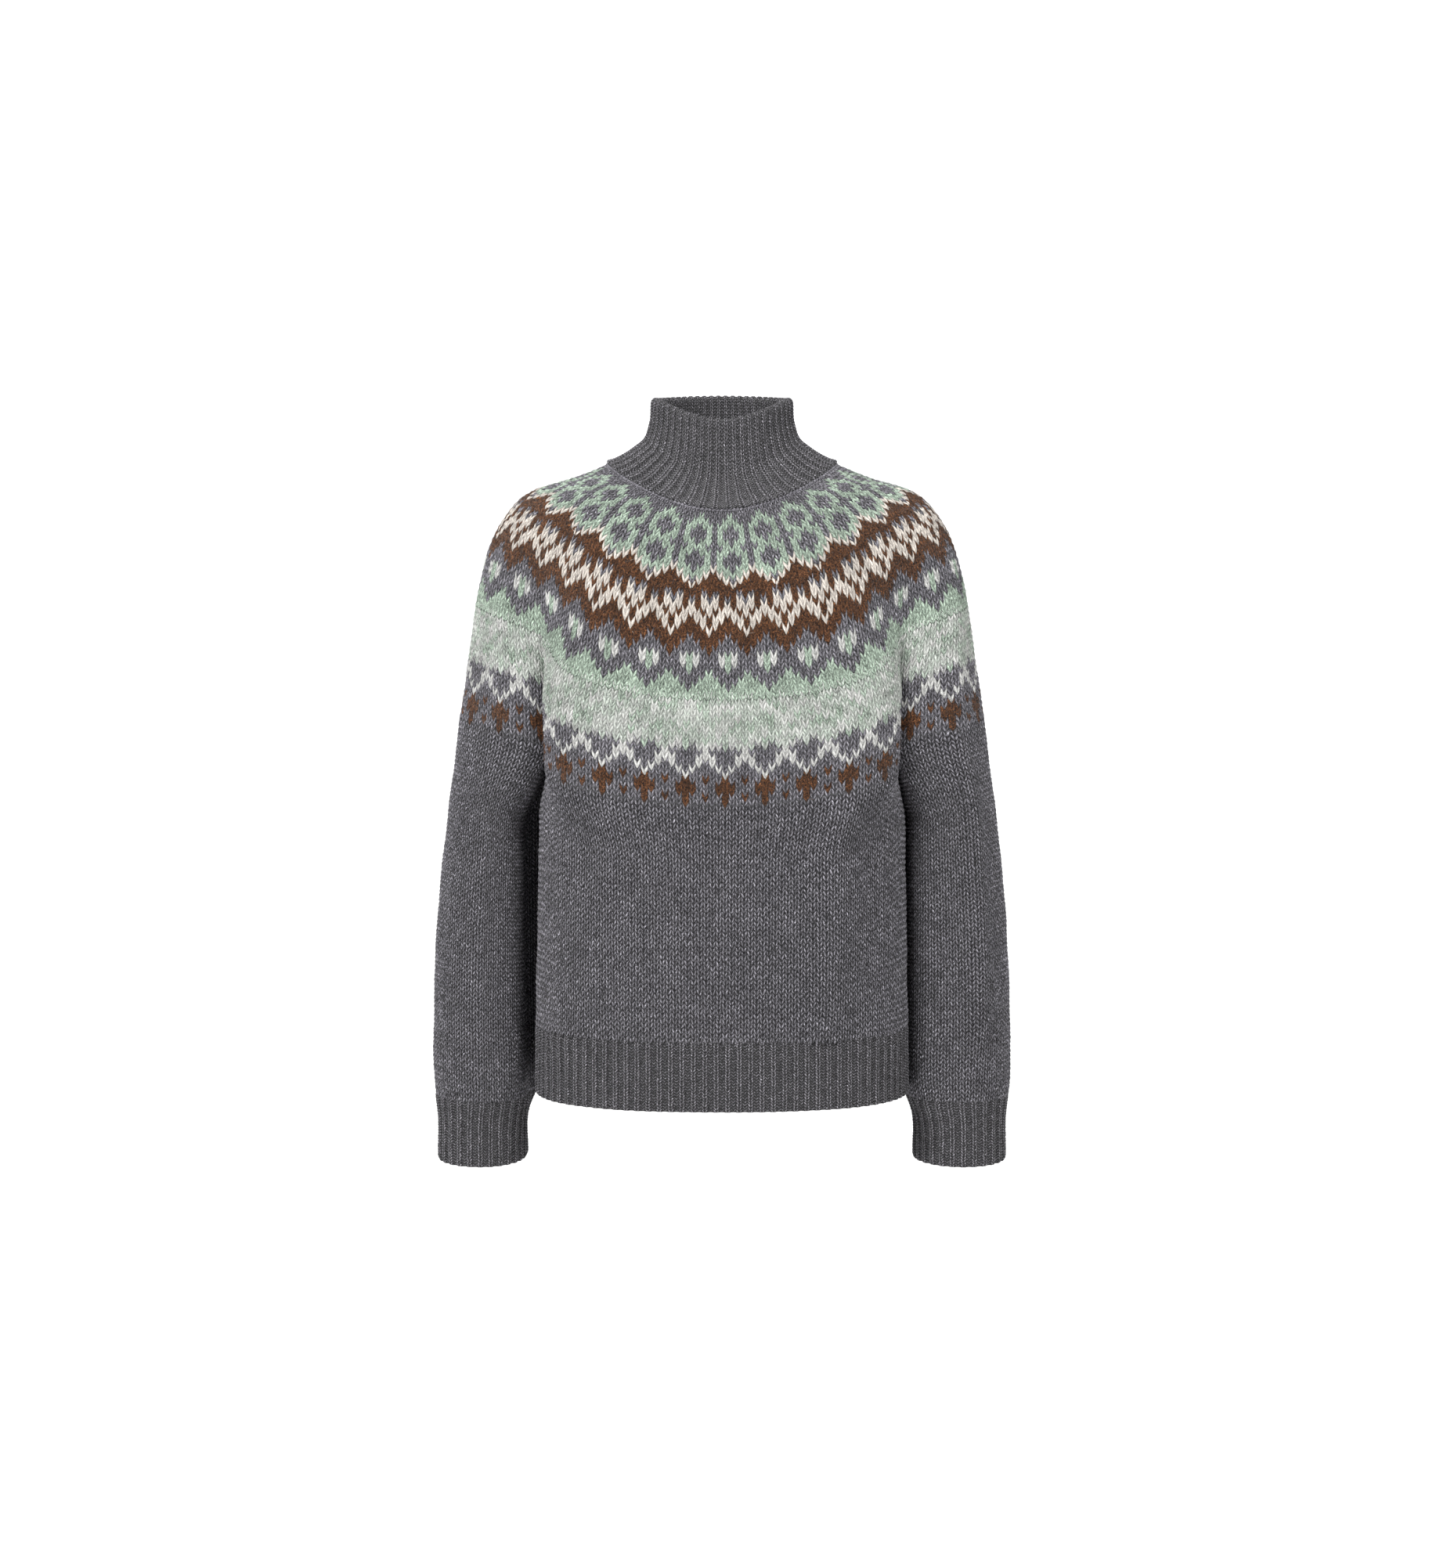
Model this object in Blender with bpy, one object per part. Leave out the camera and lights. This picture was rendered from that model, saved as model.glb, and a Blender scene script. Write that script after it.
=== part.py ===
"""A Nordic yoke pullover, knitted in the round and filled out as if worn, with nobody in it.

X runs to the viewer's right, which is the wearer's left, Y runs to the back and Z runs up.
The origin is the middle of the neckline, where the wearer's shoulders carry the pullover.

The yoke is one ring of knitting. Below it the ring is shared out: the front and back stitches
go on as the body, the stitches over each arm as a sleeve, and a short row of stitches is added
under each arm. Every piece is a closed wall between an outer and an inner set of rings.
"""

import functools
import math

import bmesh
import bpy
import numpy as np

# ---------------------------------------------------------------- driving sizes (metres)
WALL = 0.003  # one thickness of the main knitting
RIB_WALL = 0.003  # the plain inner part of a ribbed band
COLLAR_WALL = 0.006  # the collar is folded double
COLLAR_PROUD = 0.0018  # how far its lower edge stands out from the yoke
RIB_RELIEF = 0.0012  # how far a rib stands out from, or a furrow sinks under, its band
SEAM = 0.0003  # the gap that is kept between two pieces
CORNER_GAP = 0.0018  # the gap where yoke, body and sleeve meet at the end of an armhole fold
COLLAR_TOP_HALF_WIDTH = 0.0640
COLLAR_TOP_FRONT = (0.052, 0.050)  # depth in front of the origin, height
COLLAR_TOP_BACK = (0.057, 0.080)
COLLAR_TOP_SIDE_HEIGHT = 0.0735
BODY_END = -0.5305  # where the body meets its ribbed hem
HEM_END = -0.5925
SLEEVE_END = -0.6050  # where a sleeve meets its cuff
CUFF_END = -0.6665
UNDERARM_DIP = 0.006  # how far the row under an arm hangs below the fold's two ends
UNDERARM_PARTING = 0.0012  # how far that row stands back from the piece beside it

# ---------------------------------------------------------------- stitches
FRONT_STITCHES = 68  # of the yoke's last round, over the chest
ARM_STITCHES = 40  # of the yoke's last round, over each arm
UNDERARM_STITCHES = 16
YOKE_STITCHES = 2 * (FRONT_STITCHES + ARM_STITCHES)
BODY_STITCHES = 2 * (FRONT_STITCHES + UNDERARM_STITCHES)
SLEEVE_STITCHES = ARM_STITCHES + UNDERARM_STITCHES
HEM_RIBS = 92
CUFF_RIBS = 26
COLLAR_RIBS = 52

# ---------------------------------------------------------------- lines down the yoke
# Each runs from the collar to the yoke's last round. x is the distance from the middle.
YOKE_LINES = {
    # name: rows of (x, y, z)
    "front": (
        (0.0, -0.0900, -0.0330),
        (0.0, -0.1010, -0.0640),
        (0.0, -0.1110, -0.1150),
        (0.0, -0.1180, -0.1900),
        (0.0, -0.1215, -0.2600),
        (0.0, -0.1220, -0.3110),
    ),
    "back": (
        (0.0, 0.0850, 0.0070),
        (0.0, 0.1000, -0.0300),
        (0.0, 0.1120, -0.0900),
        (0.0, 0.1180, -0.1700),
        (0.0, 0.1200, -0.2400),
        (0.0, 0.1200, -0.2900),
    ),
    "side": (
        (0.1095, 0.000, 0.0130),
        (0.1450, 0.000, -0.0008),
        (0.1650, 0.001, -0.0062),
        (0.1800, 0.001, -0.0115),
        (0.1976, 0.002, -0.0230),
        (0.2120, 0.003, -0.0413),
        (0.2242, 0.003, -0.0656),
        (0.2340, 0.004, -0.1020),
        (0.2440, 0.005, -0.1630),
        (0.2510, 0.006, -0.2120),
        (0.2548, 0.006, -0.2350),
    ),
    "front crease": (
        (0.0934, -0.0516, -0.0010),
        (0.1250, -0.0690, -0.0170),
        (0.1520, -0.0790, -0.0450),
        (0.1665, -0.0805, -0.0850),
        (0.1690, -0.0770, -0.1300),
        (0.1655, -0.0665, -0.1880),
        (0.1625, -0.0610, -0.2560),
    ),
    "back crease": (
        (0.0934, 0.0487, 0.0120),
        (0.1250, 0.0680, -0.0050),
        (0.1520, 0.0790, -0.0350),
        (0.1665, 0.0815, -0.0780),
        (0.1690, 0.0785, -0.1250),
        (0.1655, 0.0690, -0.1840),
        (0.1625, 0.0635, -0.2540),
    ),
}
CREASE_FROM, CREASE_OVER = 0.45, 0.38  # where down the yoke the armhole fold starts, and how fast
NECK_ANGLE = math.radians(48)  # of a round as it passes the crease line at the collar
OPEN_ANGLE = math.radians(33)  # and further down, above the fold
BODY_ANGLE = math.radians(108)  # of a round that runs into the finished fold from the chest
ARM_ANGLE = math.radians(-55)  # of a round that leaves the fold over the arm
OPEN_BY = 0.35  # where down the yoke a round has turned from the collar's angle
BOXY_BY = 0.60  # where down the yoke a round is as square as it gets

# How far each quarter of a round keeps its direction, as a share of the stretch's width, at the
# collar and where the fold is complete.
MIDDLE_HANDLE = (0.40, 0.84)  # from the middle of the front or back
INTO_FOLD_HANDLE = 0.32
OUT_OF_FOLD_HANDLE = (0.36, 0.31)
SIDE_HANDLE = (0.332, 0.615)  # up to the arm's outer side
FALL_INTO_FOLD = 0.30  # share of a quarter's rise
RISE_OUT_OF_FOLD = 0.20
CHEST_RISE = 0.50  # share of a quarter's rise that shows over the chest, where it folds
HIDDEN_FROM = 0.78  # share of the chest stretch after which the fold hides it, and it rises fast
ARM_RISE = 1.6  # how early a round rises over the arm: a power
SPREAD_OF_STITCHES = 0.05  # how much wider they lie towards the ends of a quarter's chest part
SOFTNESS = (0.4, 1.5)  # how far a turn is rounded, in half stitches, at the collar and in the fold

# ---------------------------------------------------------------- level sections
BODY_SECTIONS = (
    # height, half width, depth in front, depth behind, squareness
    (-0.260, 0.1765, 0.1220, 0.1200, 2.60),
    (-0.360, 0.1765, 0.1215, 0.1195, 2.50),
    (-0.450, 0.1780, 0.1205, 0.1185, 2.45),
    (-0.530, 0.1795, 0.1190, 0.1170, 2.40),
    (-0.593, 0.1800, 0.1180, 0.1160, 2.40),
)
BODY_SETTLED = 0.25  # share of the body's length in which it leaves the yoke's form
SLEEVE_SETTLED = 0.22
SLEEVE_SECTIONS = (
    # height, middle across, middle back, half width, half depth, how far the wearer's right
    # sleeve draws away from the body in front, how far a sleeve bulges to the body behind
    (-0.238, 0.2180, 0.006, 0.0371, 0.0655, 0.0120, 0.0080),
    (-0.300, 0.2216, 0.012, 0.0416, 0.0640, 0.0126, 0.0080),
    (-0.372, 0.2264, 0.023, 0.0462, 0.0605, 0.0132, 0.0080),
    (-0.448, 0.2299, 0.031, 0.0498, 0.0570, 0.0132, 0.0080),
    (-0.524, 0.2312, 0.034, 0.0512, 0.0545, 0.0126, 0.0080),
    (-0.595, 0.2310, 0.035, 0.0505, 0.0535, 0.0096, 0.0050),
    (-0.605, 0.2312, 0.035, 0.0490, 0.0522, 0.0080, 0.0030),
    (-0.618, 0.2326, 0.035, 0.0463, 0.0495, 0.0056, 0.0010),
    (-0.6665, 0.2332, 0.035, 0.0448, 0.0480, 0.0044, 0.0000),
)
TUCK_FROM_MIDDLE = 0.6  # share of the half depth behind the middle where the bulge is whole
SQUARE_TO_TUCK = 12.0  # how much squarer a section's inner half is, for each metre of bulge
COLLAR_FLARE = (
    # share of the way in, share of the way up
    (0.00, 0.000),
    (0.26, 0.084),
    (0.56, 0.226),
    (0.83, 0.410),
    (0.94, 0.670),
    (1.00, 1.000),
)
COLLAR_DIP = 2.0  # how late the top edge falls from the side to the front: a power of the cosine
COLLAR_LIFT = 1.3  # and how late it rises to the back

# ---------------------------------------------------------------- soft folds
# side is 1 for the viewer's right, -1 for the left, 0 for a piece that has one copy.
# columns are stitches from the piece's first column, start and end are shares of its length.
FOLDS = {
    "yoke": (
        # side, column at start, column at end, start, end, half width in stitches, height
        (0, 44.6, 43.4, 0.50, 1.40, 1.7, 0.0040),
        (0, 39.5, 39.0, 0.62, 1.40, 1.8, -0.0020),
        (0, 171.0, 170.0, 0.60, 1.40, 2.0, -0.0024),
        (0, 24.0, 23.5, 0.55, 1.40, 2.2, -0.0026),
        (0, 18.0, 18.5, 0.66, 1.40, 2.2, 0.0024),
        (0, 192.0, 191.0, 0.66, 1.40, 2.2, -0.0020),
        (0, 86.0, 84.0, 0.60, 1.40, 2.4, -0.0026),
        (0, 131.5, 133.0, 0.58, 1.40, 2.2, -0.0026),
    ),
    "body": (
        (0, 23.5, 23.0, -0.40, 0.92, 2.2, -0.0034),
        (0, 18.5, 17.0, -0.30, 1.25, 2.2, 0.0034),
        (0, 143.0, 145.0, -0.40, 0.50, 2.2, -0.0022),
        (0, 60.0, 64.0, -0.40, 0.62, 2.4, -0.0026),
        (0, 109.0, 105.0, -0.40, 0.70, 2.4, -0.0026),
        (0, 69.0, 66.0, 0.40, 1.40, 3.0, 0.0026),
        (0, 92.0, 90.0, 0.45, 1.40, 3.4, 0.0022),
    ),
    "sleeve": (
        (1, 9.4, 8.4, -0.40, 0.96, 1.7, 0.0054),
        (1, 5.0, 4.6, -0.40, 0.90, 1.9, -0.0026),
        (1, 14.0, 15.0, 0.10, 0.85, 2.0, -0.0022),
        (1, 33.0, 31.0, 0.05, 0.85, 2.1, 0.0026),
        (1, 39.0, 37.0, 0.45, 1.30, 2.0, -0.0020),
        (-1, 12.0, 10.0, -0.40, 0.45, 2.0, -0.0022),
        (-1, 5.0, 6.8, 0.30, 0.92, 2.0, 0.0024),
        (-1, 35.0, 33.0, 0.05, 0.75, 2.1, 0.0026),
        (-1, 29.0, 28.0, 0.50, 1.30, 2.0, -0.0020),
    ),
}
FOLD_FADE = 0.22  # share of a piece's length in which a fold rises or dies away
CORNER_REACH = 1.6  # stitches from a corner over which its wider gap closes

# ---------------------------------------------------------------- how finely the walls are cut
YOKE_RINGS = 10
BODY_RINGS = 8
SLEEVE_RINGS = 11
CROWDING = 1.4  # power that sets a tube's rings closer where it leaves the yoke
COLLAR_RINGS = 6
STITCHES_A_COLUMN = 2
BAND_DEPTHS = (0.0, 0.05, 0.94, 1.0)  # rings of a hem or cuff, as shares of its height
RIM_RELIEF = 0.4  # share of a rib's relief that is left on the collar's rolled top

YARNS = {
    # name: colour, roughness
    "charcoal_wool": ((0.105, 0.105, 0.113, 1.0), 0.95),
    "rib_wool": ((0.100, 0.098, 0.106, 1.0), 0.95),
    "patterned_wool": ((0.250, 0.230, 0.200, 1.0), 0.95),
}


# ================================================================ curves
def smooth_line(rows, at):
    """Points on a smooth line through rows, at shares of its length from 0 to 1."""
    rows = np.asarray(rows, float)
    gaps = np.linalg.norm(np.diff(rows, axis=0), axis=1)
    place = np.concatenate([[0.0], np.cumsum(gaps)])
    slope = np.gradient(rows, place, axis=0)
    return hermite(rows, place, slope, np.asarray(at, float) * place[-1])


def smooth_table(rows, at):
    """The columns of a table, read smoothly at values of its first column, which may fall or rise."""
    rows = np.asarray(rows, float)
    rows = rows[np.argsort(rows[:, 0])]
    place = rows[:, 0]
    at = np.clip(at, place[0], place[-1])
    return hermite(rows[:, 1:], place, np.gradient(rows[:, 1:], place, axis=0), at)


def hermite(values, place, slope, at):
    k = np.clip(np.searchsorted(place, at, side="right") - 1, 0, len(place) - 2)
    span = place[k + 1] - place[k]
    u = ((at - place[k]) / span)[..., None]
    span = span[..., None]
    return (
        (1 + 2 * u) * (1 - u) ** 2 * values[k]
        + u * (1 - u) ** 2 * span * slope[k]
        + u * u * (3 - 2 * u) * values[k + 1]
        - u * u * (1 - u) * span * slope[k + 1]
    )


def bezier(p0, p1, p2, p3, steps=48):
    u = np.linspace(0, 1, steps + 1)[:, None]
    return (1 - u) ** 3 * p0 + 3 * u * (1 - u) ** 2 * p1 + 3 * u * u * (1 - u) * p2 + u**3 * p3


def along(points, shares):
    """Points at shares of the length of a many-pointed line."""
    place = np.concatenate([[0.0], np.cumsum(np.linalg.norm(np.diff(points, axis=0), axis=1))])
    return np.stack([np.interp(shares * place[-1], place, points[:, k]) for k in range(3)], 1)


def length_shares(points):
    """How far each point of a line is along its level length."""
    place = np.concatenate([[0.0], np.cumsum(np.linalg.norm(np.diff(points[:, :2], axis=0), axis=1))])
    return place / place[-1]


def ease(x):
    x = np.clip(x, 0.0, 1.0)
    return x * x * (3 - 2 * x)


def mix(a, b, share):
    return a + (b - a) * share


# ================================================================ the yoke
def quarter(t, end, crease):
    """A quarter of the yoke's round at t: from the middle of the front or back to the arm's side.

    Gives the two stretches on either side of the crease line, for the viewer's right.
    """
    middle = smooth_line(YOKE_LINES[end], [t])[0]
    fold_at = smooth_line(YOKE_LINES[crease], [t])[0]
    side = smooth_line(YOKE_LINES["side"], [t])[0]
    back = -1.0 if end == "back" else 1.0  # towards which side a round turns in the fold
    fold = ease((t - CREASE_FROM) / CREASE_OVER)
    boxy = ease(t / BOXY_BY)
    rise = side[2] - middle[2]
    open_angle = mix(NECK_ANGLE, OPEN_ANGLE, ease(t / OPEN_BY))
    body_angle, arm_angle = mix(open_angle, BODY_ANGLE, fold), mix(open_angle, ARM_ANGLE, fold)
    into = np.array([math.cos(body_angle), back * math.sin(body_angle), 0.0])
    out = np.array([math.cos(arm_angle), back * math.sin(arm_angle), 0.0])
    chest, arm = np.linalg.norm((fold_at - middle)[:2]), np.linalg.norm((side - fold_at)[:2])
    chest_handle = np.array([mix(*MIDDLE_HANDLE, boxy) * fold_at[0], 0.0, 0.0])
    fall = np.array([0.0, 0.0, FALL_INTO_FOLD * rise])
    body = bezier(
        middle, middle + chest_handle, fold_at - into * INTO_FOLD_HANDLE * chest - fall, fold_at
    )
    climb = np.array([0.0, 0.0, RISE_OUT_OF_FOLD * rise])
    side_handle = np.array([0.0, back * mix(*SIDE_HANDLE, boxy) * arm, 0.0])
    sleeve = bezier(
        fold_at,
        fold_at + out * mix(*OUT_OF_FOLD_HANDLE, fold) * arm + climb,
        side - side_handle,
        side,
    )
    # Where the cloth is folded, a round climbs to the arm mostly out of sight, inside the fold.
    at = length_shares(body)
    hung = middle[2] + CHEST_RISE * rise * at**2
    hidden = fold_at[2] - middle[2] - CHEST_RISE * rise
    hung += hidden * ease((at - HIDDEN_FROM) / (1 - HIDDEN_FROM))
    body[:, 2] = mix(body[:, 2], hung, fold)
    hung = side[2] + (fold_at[2] - side[2]) * (1 - length_shares(sleeve)) ** ARM_RISE
    sleeve[:, 2] = mix(sleeve[:, 2], hung, fold)
    return body, sleeve


def yoke_round(t, stitches):
    """Points of the yoke's round at t, 0 at the collar and 1 at its last, at stitch positions.

    Stitch 0 is the middle of the front, and they run by the viewer's right to the back.
    """
    half = FRONT_STITCHES // 2
    turn = half + ARM_STITCHES // 2
    s = np.mod(stitches, YOKE_STITCHES)
    left = s > YOKE_STITCHES / 2
    s = np.where(left, YOKE_STITCHES - s, s)
    points = np.zeros((len(s), 3))
    for end, crease, behind in (("front", "front crease", False), ("back", "back crease", True)):
        body, sleeve = quarter(t, end, crease)
        own = np.where(behind, 2 * turn - s, s)
        here = (s > turn) == behind
        share = own / half
        share = share - SPREAD_OF_STITCHES * np.sin(2 * np.pi * share) / (2 * np.pi)
        points = np.where((here & (own <= half))[:, None], along(body, share), points)
        share = (own - half) / (turn - half)
        points = np.where((here & (own > half))[:, None], along(sleeve, share), points)
    points[:, 0] = np.where(left, -points[:, 0], points[:, 0])
    return points


def yoke_surface(shares, stitches):
    every = np.arange(0, YOKE_STITCHES, 0.5)
    reach = np.arange(-8, 9)
    grid = []
    for t in shares:
        ring = yoke_round(t, every)
        # A folded round is softened, because wool turns a corner and doesn't crease.
        spread = mix(*SOFTNESS, ease((t - CREASE_FROM) / CREASE_OVER))
        weight = np.exp(-0.5 * (reach / spread) ** 2)
        soft = sum(w * np.roll(ring, -k, axis=0) for k, w in zip(reach, weight / weight.sum()))
        closed = np.vstack([soft, soft[:1]])
        place = np.append(every, YOKE_STITCHES)
        at = np.mod(stitches, YOKE_STITCHES)
        grid.append(np.stack([np.interp(at, place, closed[:, k]) for k in range(3)], 1))
    return np.array(grid)


# ================================================================ body and sleeves
def last_of_yoke(first, last):
    """The yoke's last round from one stitch to another, with a point every half stitch."""
    count = 2 * (last - first)
    return yoke_surface([1.0], first + np.arange(count + 1) / 2)[0]


def join(parts, columns):
    """Read a ring made of stretches with a point every half stitch."""
    ring = np.vstack([p[:-1] for p in parts])
    closed = np.vstack([ring, ring[:1]])
    place = np.arange(len(closed)) / 2
    at = np.mod(columns, len(ring) / 2)
    return np.stack([np.interp(at, place, closed[:, k]) for k in range(3)], 1)


def underarm(start, end, inward):
    """The short row of stitches under an arm, from one end of the fold to the other."""
    u = np.linspace(0, 1, 2 * UNDERARM_STITCHES + 1)[:, None]
    line = mix(start, end, u)
    bow = np.sin(np.pi * u[:, 0])
    line[:, 2] -= UNDERARM_DIP * bow
    line[:, 0] -= inward * UNDERARM_PARTING * bow
    return line


def body_start(columns):
    """The round where the body begins: front, underarm, back, underarm."""
    half = FRONT_STITCHES // 2
    turn = half + ARM_STITCHES
    right, back = last_of_yoke(0, half), last_of_yoke(turn, turn + FRONT_STITCHES)
    left = last_of_yoke(YOKE_STITCHES - half, YOKE_STITCHES)
    under_right = underarm(right[-1], back[0], 1.0)
    under_left = underarm(back[-1], left[0], -1.0)
    return join([right, under_right, back, under_left, left], columns)


def sleeve_start(columns):
    """The round where the right sleeve begins: over the arm from front to back, then under it."""
    half = FRONT_STITCHES // 2
    over = last_of_yoke(half, half + ARM_STITCHES)
    return join([over, underarm(over[-1], over[0], -1.0)], columns)


def level_section(half_width, front, back, squareness, shares):
    """A rounded level section, at shares of the way round from the middle of the front."""
    angle = np.linspace(0, 2 * np.pi, 721)
    power = 2 / squareness
    x = half_width * np.sign(np.sin(angle)) * np.abs(np.sin(angle)) ** power
    depth = np.where(np.cos(angle) > 0, front, back)
    y = -depth * np.sign(np.cos(angle)) * np.abs(np.cos(angle)) ** power
    line = np.stack([x, y, np.zeros_like(x)], 1)
    return along(line, np.mod(shares, 1.0))


def body_section(heights, turns):
    """The body's section at one height: turn 0 is the middle of the front."""
    sizes = smooth_table(BODY_SECTIONS, heights[:1])[0]
    ring = level_section(*sizes, turns)
    ring[:, 2] = heights
    return ring


def body_surface(shares, columns):
    start = body_start(columns)
    turns = columns / BODY_STITCHES
    own = start - body_section(start[:, 2].mean() + 0 * turns, turns)
    grid = []
    for v in shares:
        level = body_section(mix(start[:, 2].mean(), BODY_END, v) + 0 * turns, turns)
        ring = level + own * (1 - ease(v / BODY_SETTLED))
        ring[:, 2] = mix(start[:, 2], BODY_END, v)
        grid.append(ring)
    return np.array(grid)


def sleeve_section(side, heights, shares):
    """A sleeve's section: share 0 is at its outer side, and it runs by the back.

    Both sleeves are made on the viewer's right, and side -1 is mirrored when it is done.
    """
    across, back, half_width, half_depth, drawn, tuck = smooth_table(SLEEVE_SECTIONS, heights).T
    angle = 2 * np.pi * shares
    inner = np.clip(-np.cos(angle), 0.0, 1.0)
    square = 1 + SQUARE_TO_TUCK * tuck * (inner > 0) * np.sin(2 * angle) ** 2
    y = half_depth * np.sin(angle) * square
    front = 1 - ease(y / (TUCK_FROM_MIDDLE * half_depth))
    x = half_width * np.cos(angle) * square + inner * mix(-tuck, drawn * (side < 0), front)
    return np.stack([across + x, back + y, heights], 1)


def sleeve_surface(side, shares, columns):
    start = sleeve_start(columns)
    turns = (columns - ARM_STITCHES / 2) / SLEEVE_STITCHES
    own = start - sleeve_section(side, start[:, 2], turns)
    grid = []
    for v in shares:
        ring = sleeve_section(side, mix(start[:, 2], SLEEVE_END, v), turns)
        ring[:, :2] += own[:, :2] * (1 - ease(v / SLEEVE_SETTLED))
        grid.append(ring)
    return np.array(grid)


def band_surface(section, top, end, shares, turns):
    """A level band, from its top to its end, at shares of the way round."""
    return np.array([section(np.full(len(turns), mix(top, end, v)), turns) for v in shares])


# ================================================================ the collar
def collar_surface(shares, turns):
    """From the neckline, share 0, to the collar's top, share 1."""
    base = yoke_surface([0.0], turns * YOKE_STITCHES)[0]
    top = level_section(
        COLLAR_TOP_HALF_WIDTH, COLLAR_TOP_FRONT[0], COLLAR_TOP_BACK[0], 2.0, turns
    )
    lift = np.cos(2 * np.pi * turns)
    end = np.where(lift > 0, COLLAR_TOP_FRONT[1], COLLAR_TOP_BACK[1])
    power = np.where(lift > 0, COLLAR_DIP, COLLAR_LIFT)
    top[:, 2] = mix(COLLAR_TOP_SIDE_HEIGHT, end, np.abs(lift) ** power)
    grid = []
    for v in shares:
        inward, upward = smooth_line(COLLAR_FLARE, [v])[0]
        ring = mix(base, top, inward)
        ring[:, 2] = mix(base[:, 2], top[:, 2], upward)
        grid.append(ring)
    return np.array(grid)


# ================================================================ walls
def normals(grid, level=()):
    """Outward unit normals of a closed tube's grid of rings, made level on some of its rings."""
    across = np.roll(grid, -1, axis=1) - np.roll(grid, 1, axis=1)
    down = np.gradient(grid, axis=0)
    down[list(level)] = (0.0, 0.0, -1.0)
    n = np.cross(down, across)
    return n / np.maximum(np.linalg.norm(n, axis=2, keepdims=True), 1e-12)


def folded(grid, piece, side, shares, columns, stitches, level):
    """The grid with its soft folds, as gentle ridges and troughs along the knitting."""
    out = normals(grid, level)
    lift = np.zeros(grid.shape[:2])
    for own, first, last, start, end, half_width, height in FOLDS[piece]:
        if own not in (0, side):
            continue
        for r, v in enumerate(shares):
            middle = mix(first, last, np.clip((v - start) / (end - start), 0, 1))
            off = np.mod(columns - middle + stitches / 2, stitches) - stitches / 2
            length = ease((v - start) / FOLD_FADE) * ease((end - v) / FOLD_FADE)
            lift[r] += height * length * np.exp(-0.5 * (off / half_width) ** 2)
    return grid + out * lift[..., None]


def wall(name, outer, inner, yarn):
    """A closed wall between outer rings and inner rings, both from one end to the other."""
    loop = np.concatenate([outer, inner[::-1]])
    rings, around = loop.shape[:2]
    mesh = bmesh.new()
    points = [[mesh.verts.new(p) for p in ring] for ring in loop]
    for r in range(rings):
        for c in range(around):
            a, b = points[r], points[(r + 1) % rings]
            d = (c + 1) % around
            mesh.faces.new((a[c], b[c], b[d], a[d]))
    bmesh.ops.recalc_face_normals(mesh, faces=mesh.faces)
    if mesh.calc_volume(signed=True) < 0:
        bmesh.ops.reverse_faces(mesh, faces=mesh.faces)
    bmesh.ops.triangulate(mesh, faces=mesh.faces)
    data = bpy.data.meshes.new(name)
    mesh.to_mesh(data)
    mesh.free()
    data.shade_smooth()
    data.materials.append(material(yarn))
    obj = bpy.data.objects.new(name, data)
    bpy.context.scene.collection.objects.link(obj)
    return obj


def material(yarn):
    if yarn in bpy.data.materials:
        return bpy.data.materials[yarn]
    colour, roughness = YARNS[yarn]
    made = bpy.data.materials.new(yarn)
    made.use_nodes = True
    finish = made.node_tree.nodes["Principled BSDF"]
    finish.inputs["Base Color"].default_value = colour
    finish.inputs["Roughness"].default_value = roughness
    return made


def opened(ring, columns, stitches, corners):
    """The first round of a body or sleeve, set down a little from the yoke, more at its corners."""
    drop = np.full(len(columns), SEAM / 2)
    for corner in corners:
        off = np.mod(columns - corner + stitches / 2, stitches) - stitches / 2
        drop = np.maximum(drop, CORNER_GAP * np.exp(-0.5 * (off / CORNER_REACH) ** 2))
    ring[:, 2] -= drop


def ribbed(grid, relief):
    """The grid with every other column raised and the ones between sunk."""
    raised = np.where(np.arange(grid.shape[1]) % 2 == 0, relief, -relief)
    return grid + normals(grid) * raised[None, :, None]


# ================================================================ pieces
def make_yoke():
    shares = np.linspace(0, 1, YOKE_RINGS)
    columns = np.arange(0, YOKE_STITCHES, STITCHES_A_COLUMN, dtype=float)
    grid = folded(yoke_surface(shares, columns), "yoke", 0, shares, columns, YOKE_STITCHES, [-1])
    grid[-1, :, 2] += SEAM / 2
    inner = grid - WALL * normals(grid, [-1])
    wall("yoke", grid, inner, "patterned_wool")


def make_body():
    shares = np.linspace(0, 1, BODY_RINGS) ** CROWDING
    columns = np.arange(0, BODY_STITCHES, STITCHES_A_COLUMN, dtype=float)
    grid = folded(body_surface(shares, columns), "body", 0, shares, columns, BODY_STITCHES, [0, -1])
    out = normals(grid, [0, -1])
    grid = grid - out * SEAM
    front = FRONT_STITCHES // 2
    back = front + UNDERARM_STITCHES
    corners = (front, back, BODY_STITCHES - back, BODY_STITCHES - front)
    opened(grid[0], columns, BODY_STITCHES, corners)
    wall("body", grid, grid - WALL * out, "charcoal_wool")


def make_sleeve(name, side):
    shares = np.linspace(0, 1, SLEEVE_RINGS) ** CROWDING
    columns = np.arange(0, SLEEVE_STITCHES, STITCHES_A_COLUMN, dtype=float)
    grid = sleeve_surface(side, shares, columns)
    grid = folded(grid, "sleeve", side, shares, columns, SLEEVE_STITCHES, [0, -1])
    out = normals(grid, [0, -1])
    grid = grid - out * SEAM
    opened(grid[0], columns, SLEEVE_STITCHES, (0, ARM_STITCHES))
    inner = grid - WALL * out
    mirror = np.array([side, 1, 1])
    wall(name, grid * mirror, inner * mirror, "charcoal_wool")


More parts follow.
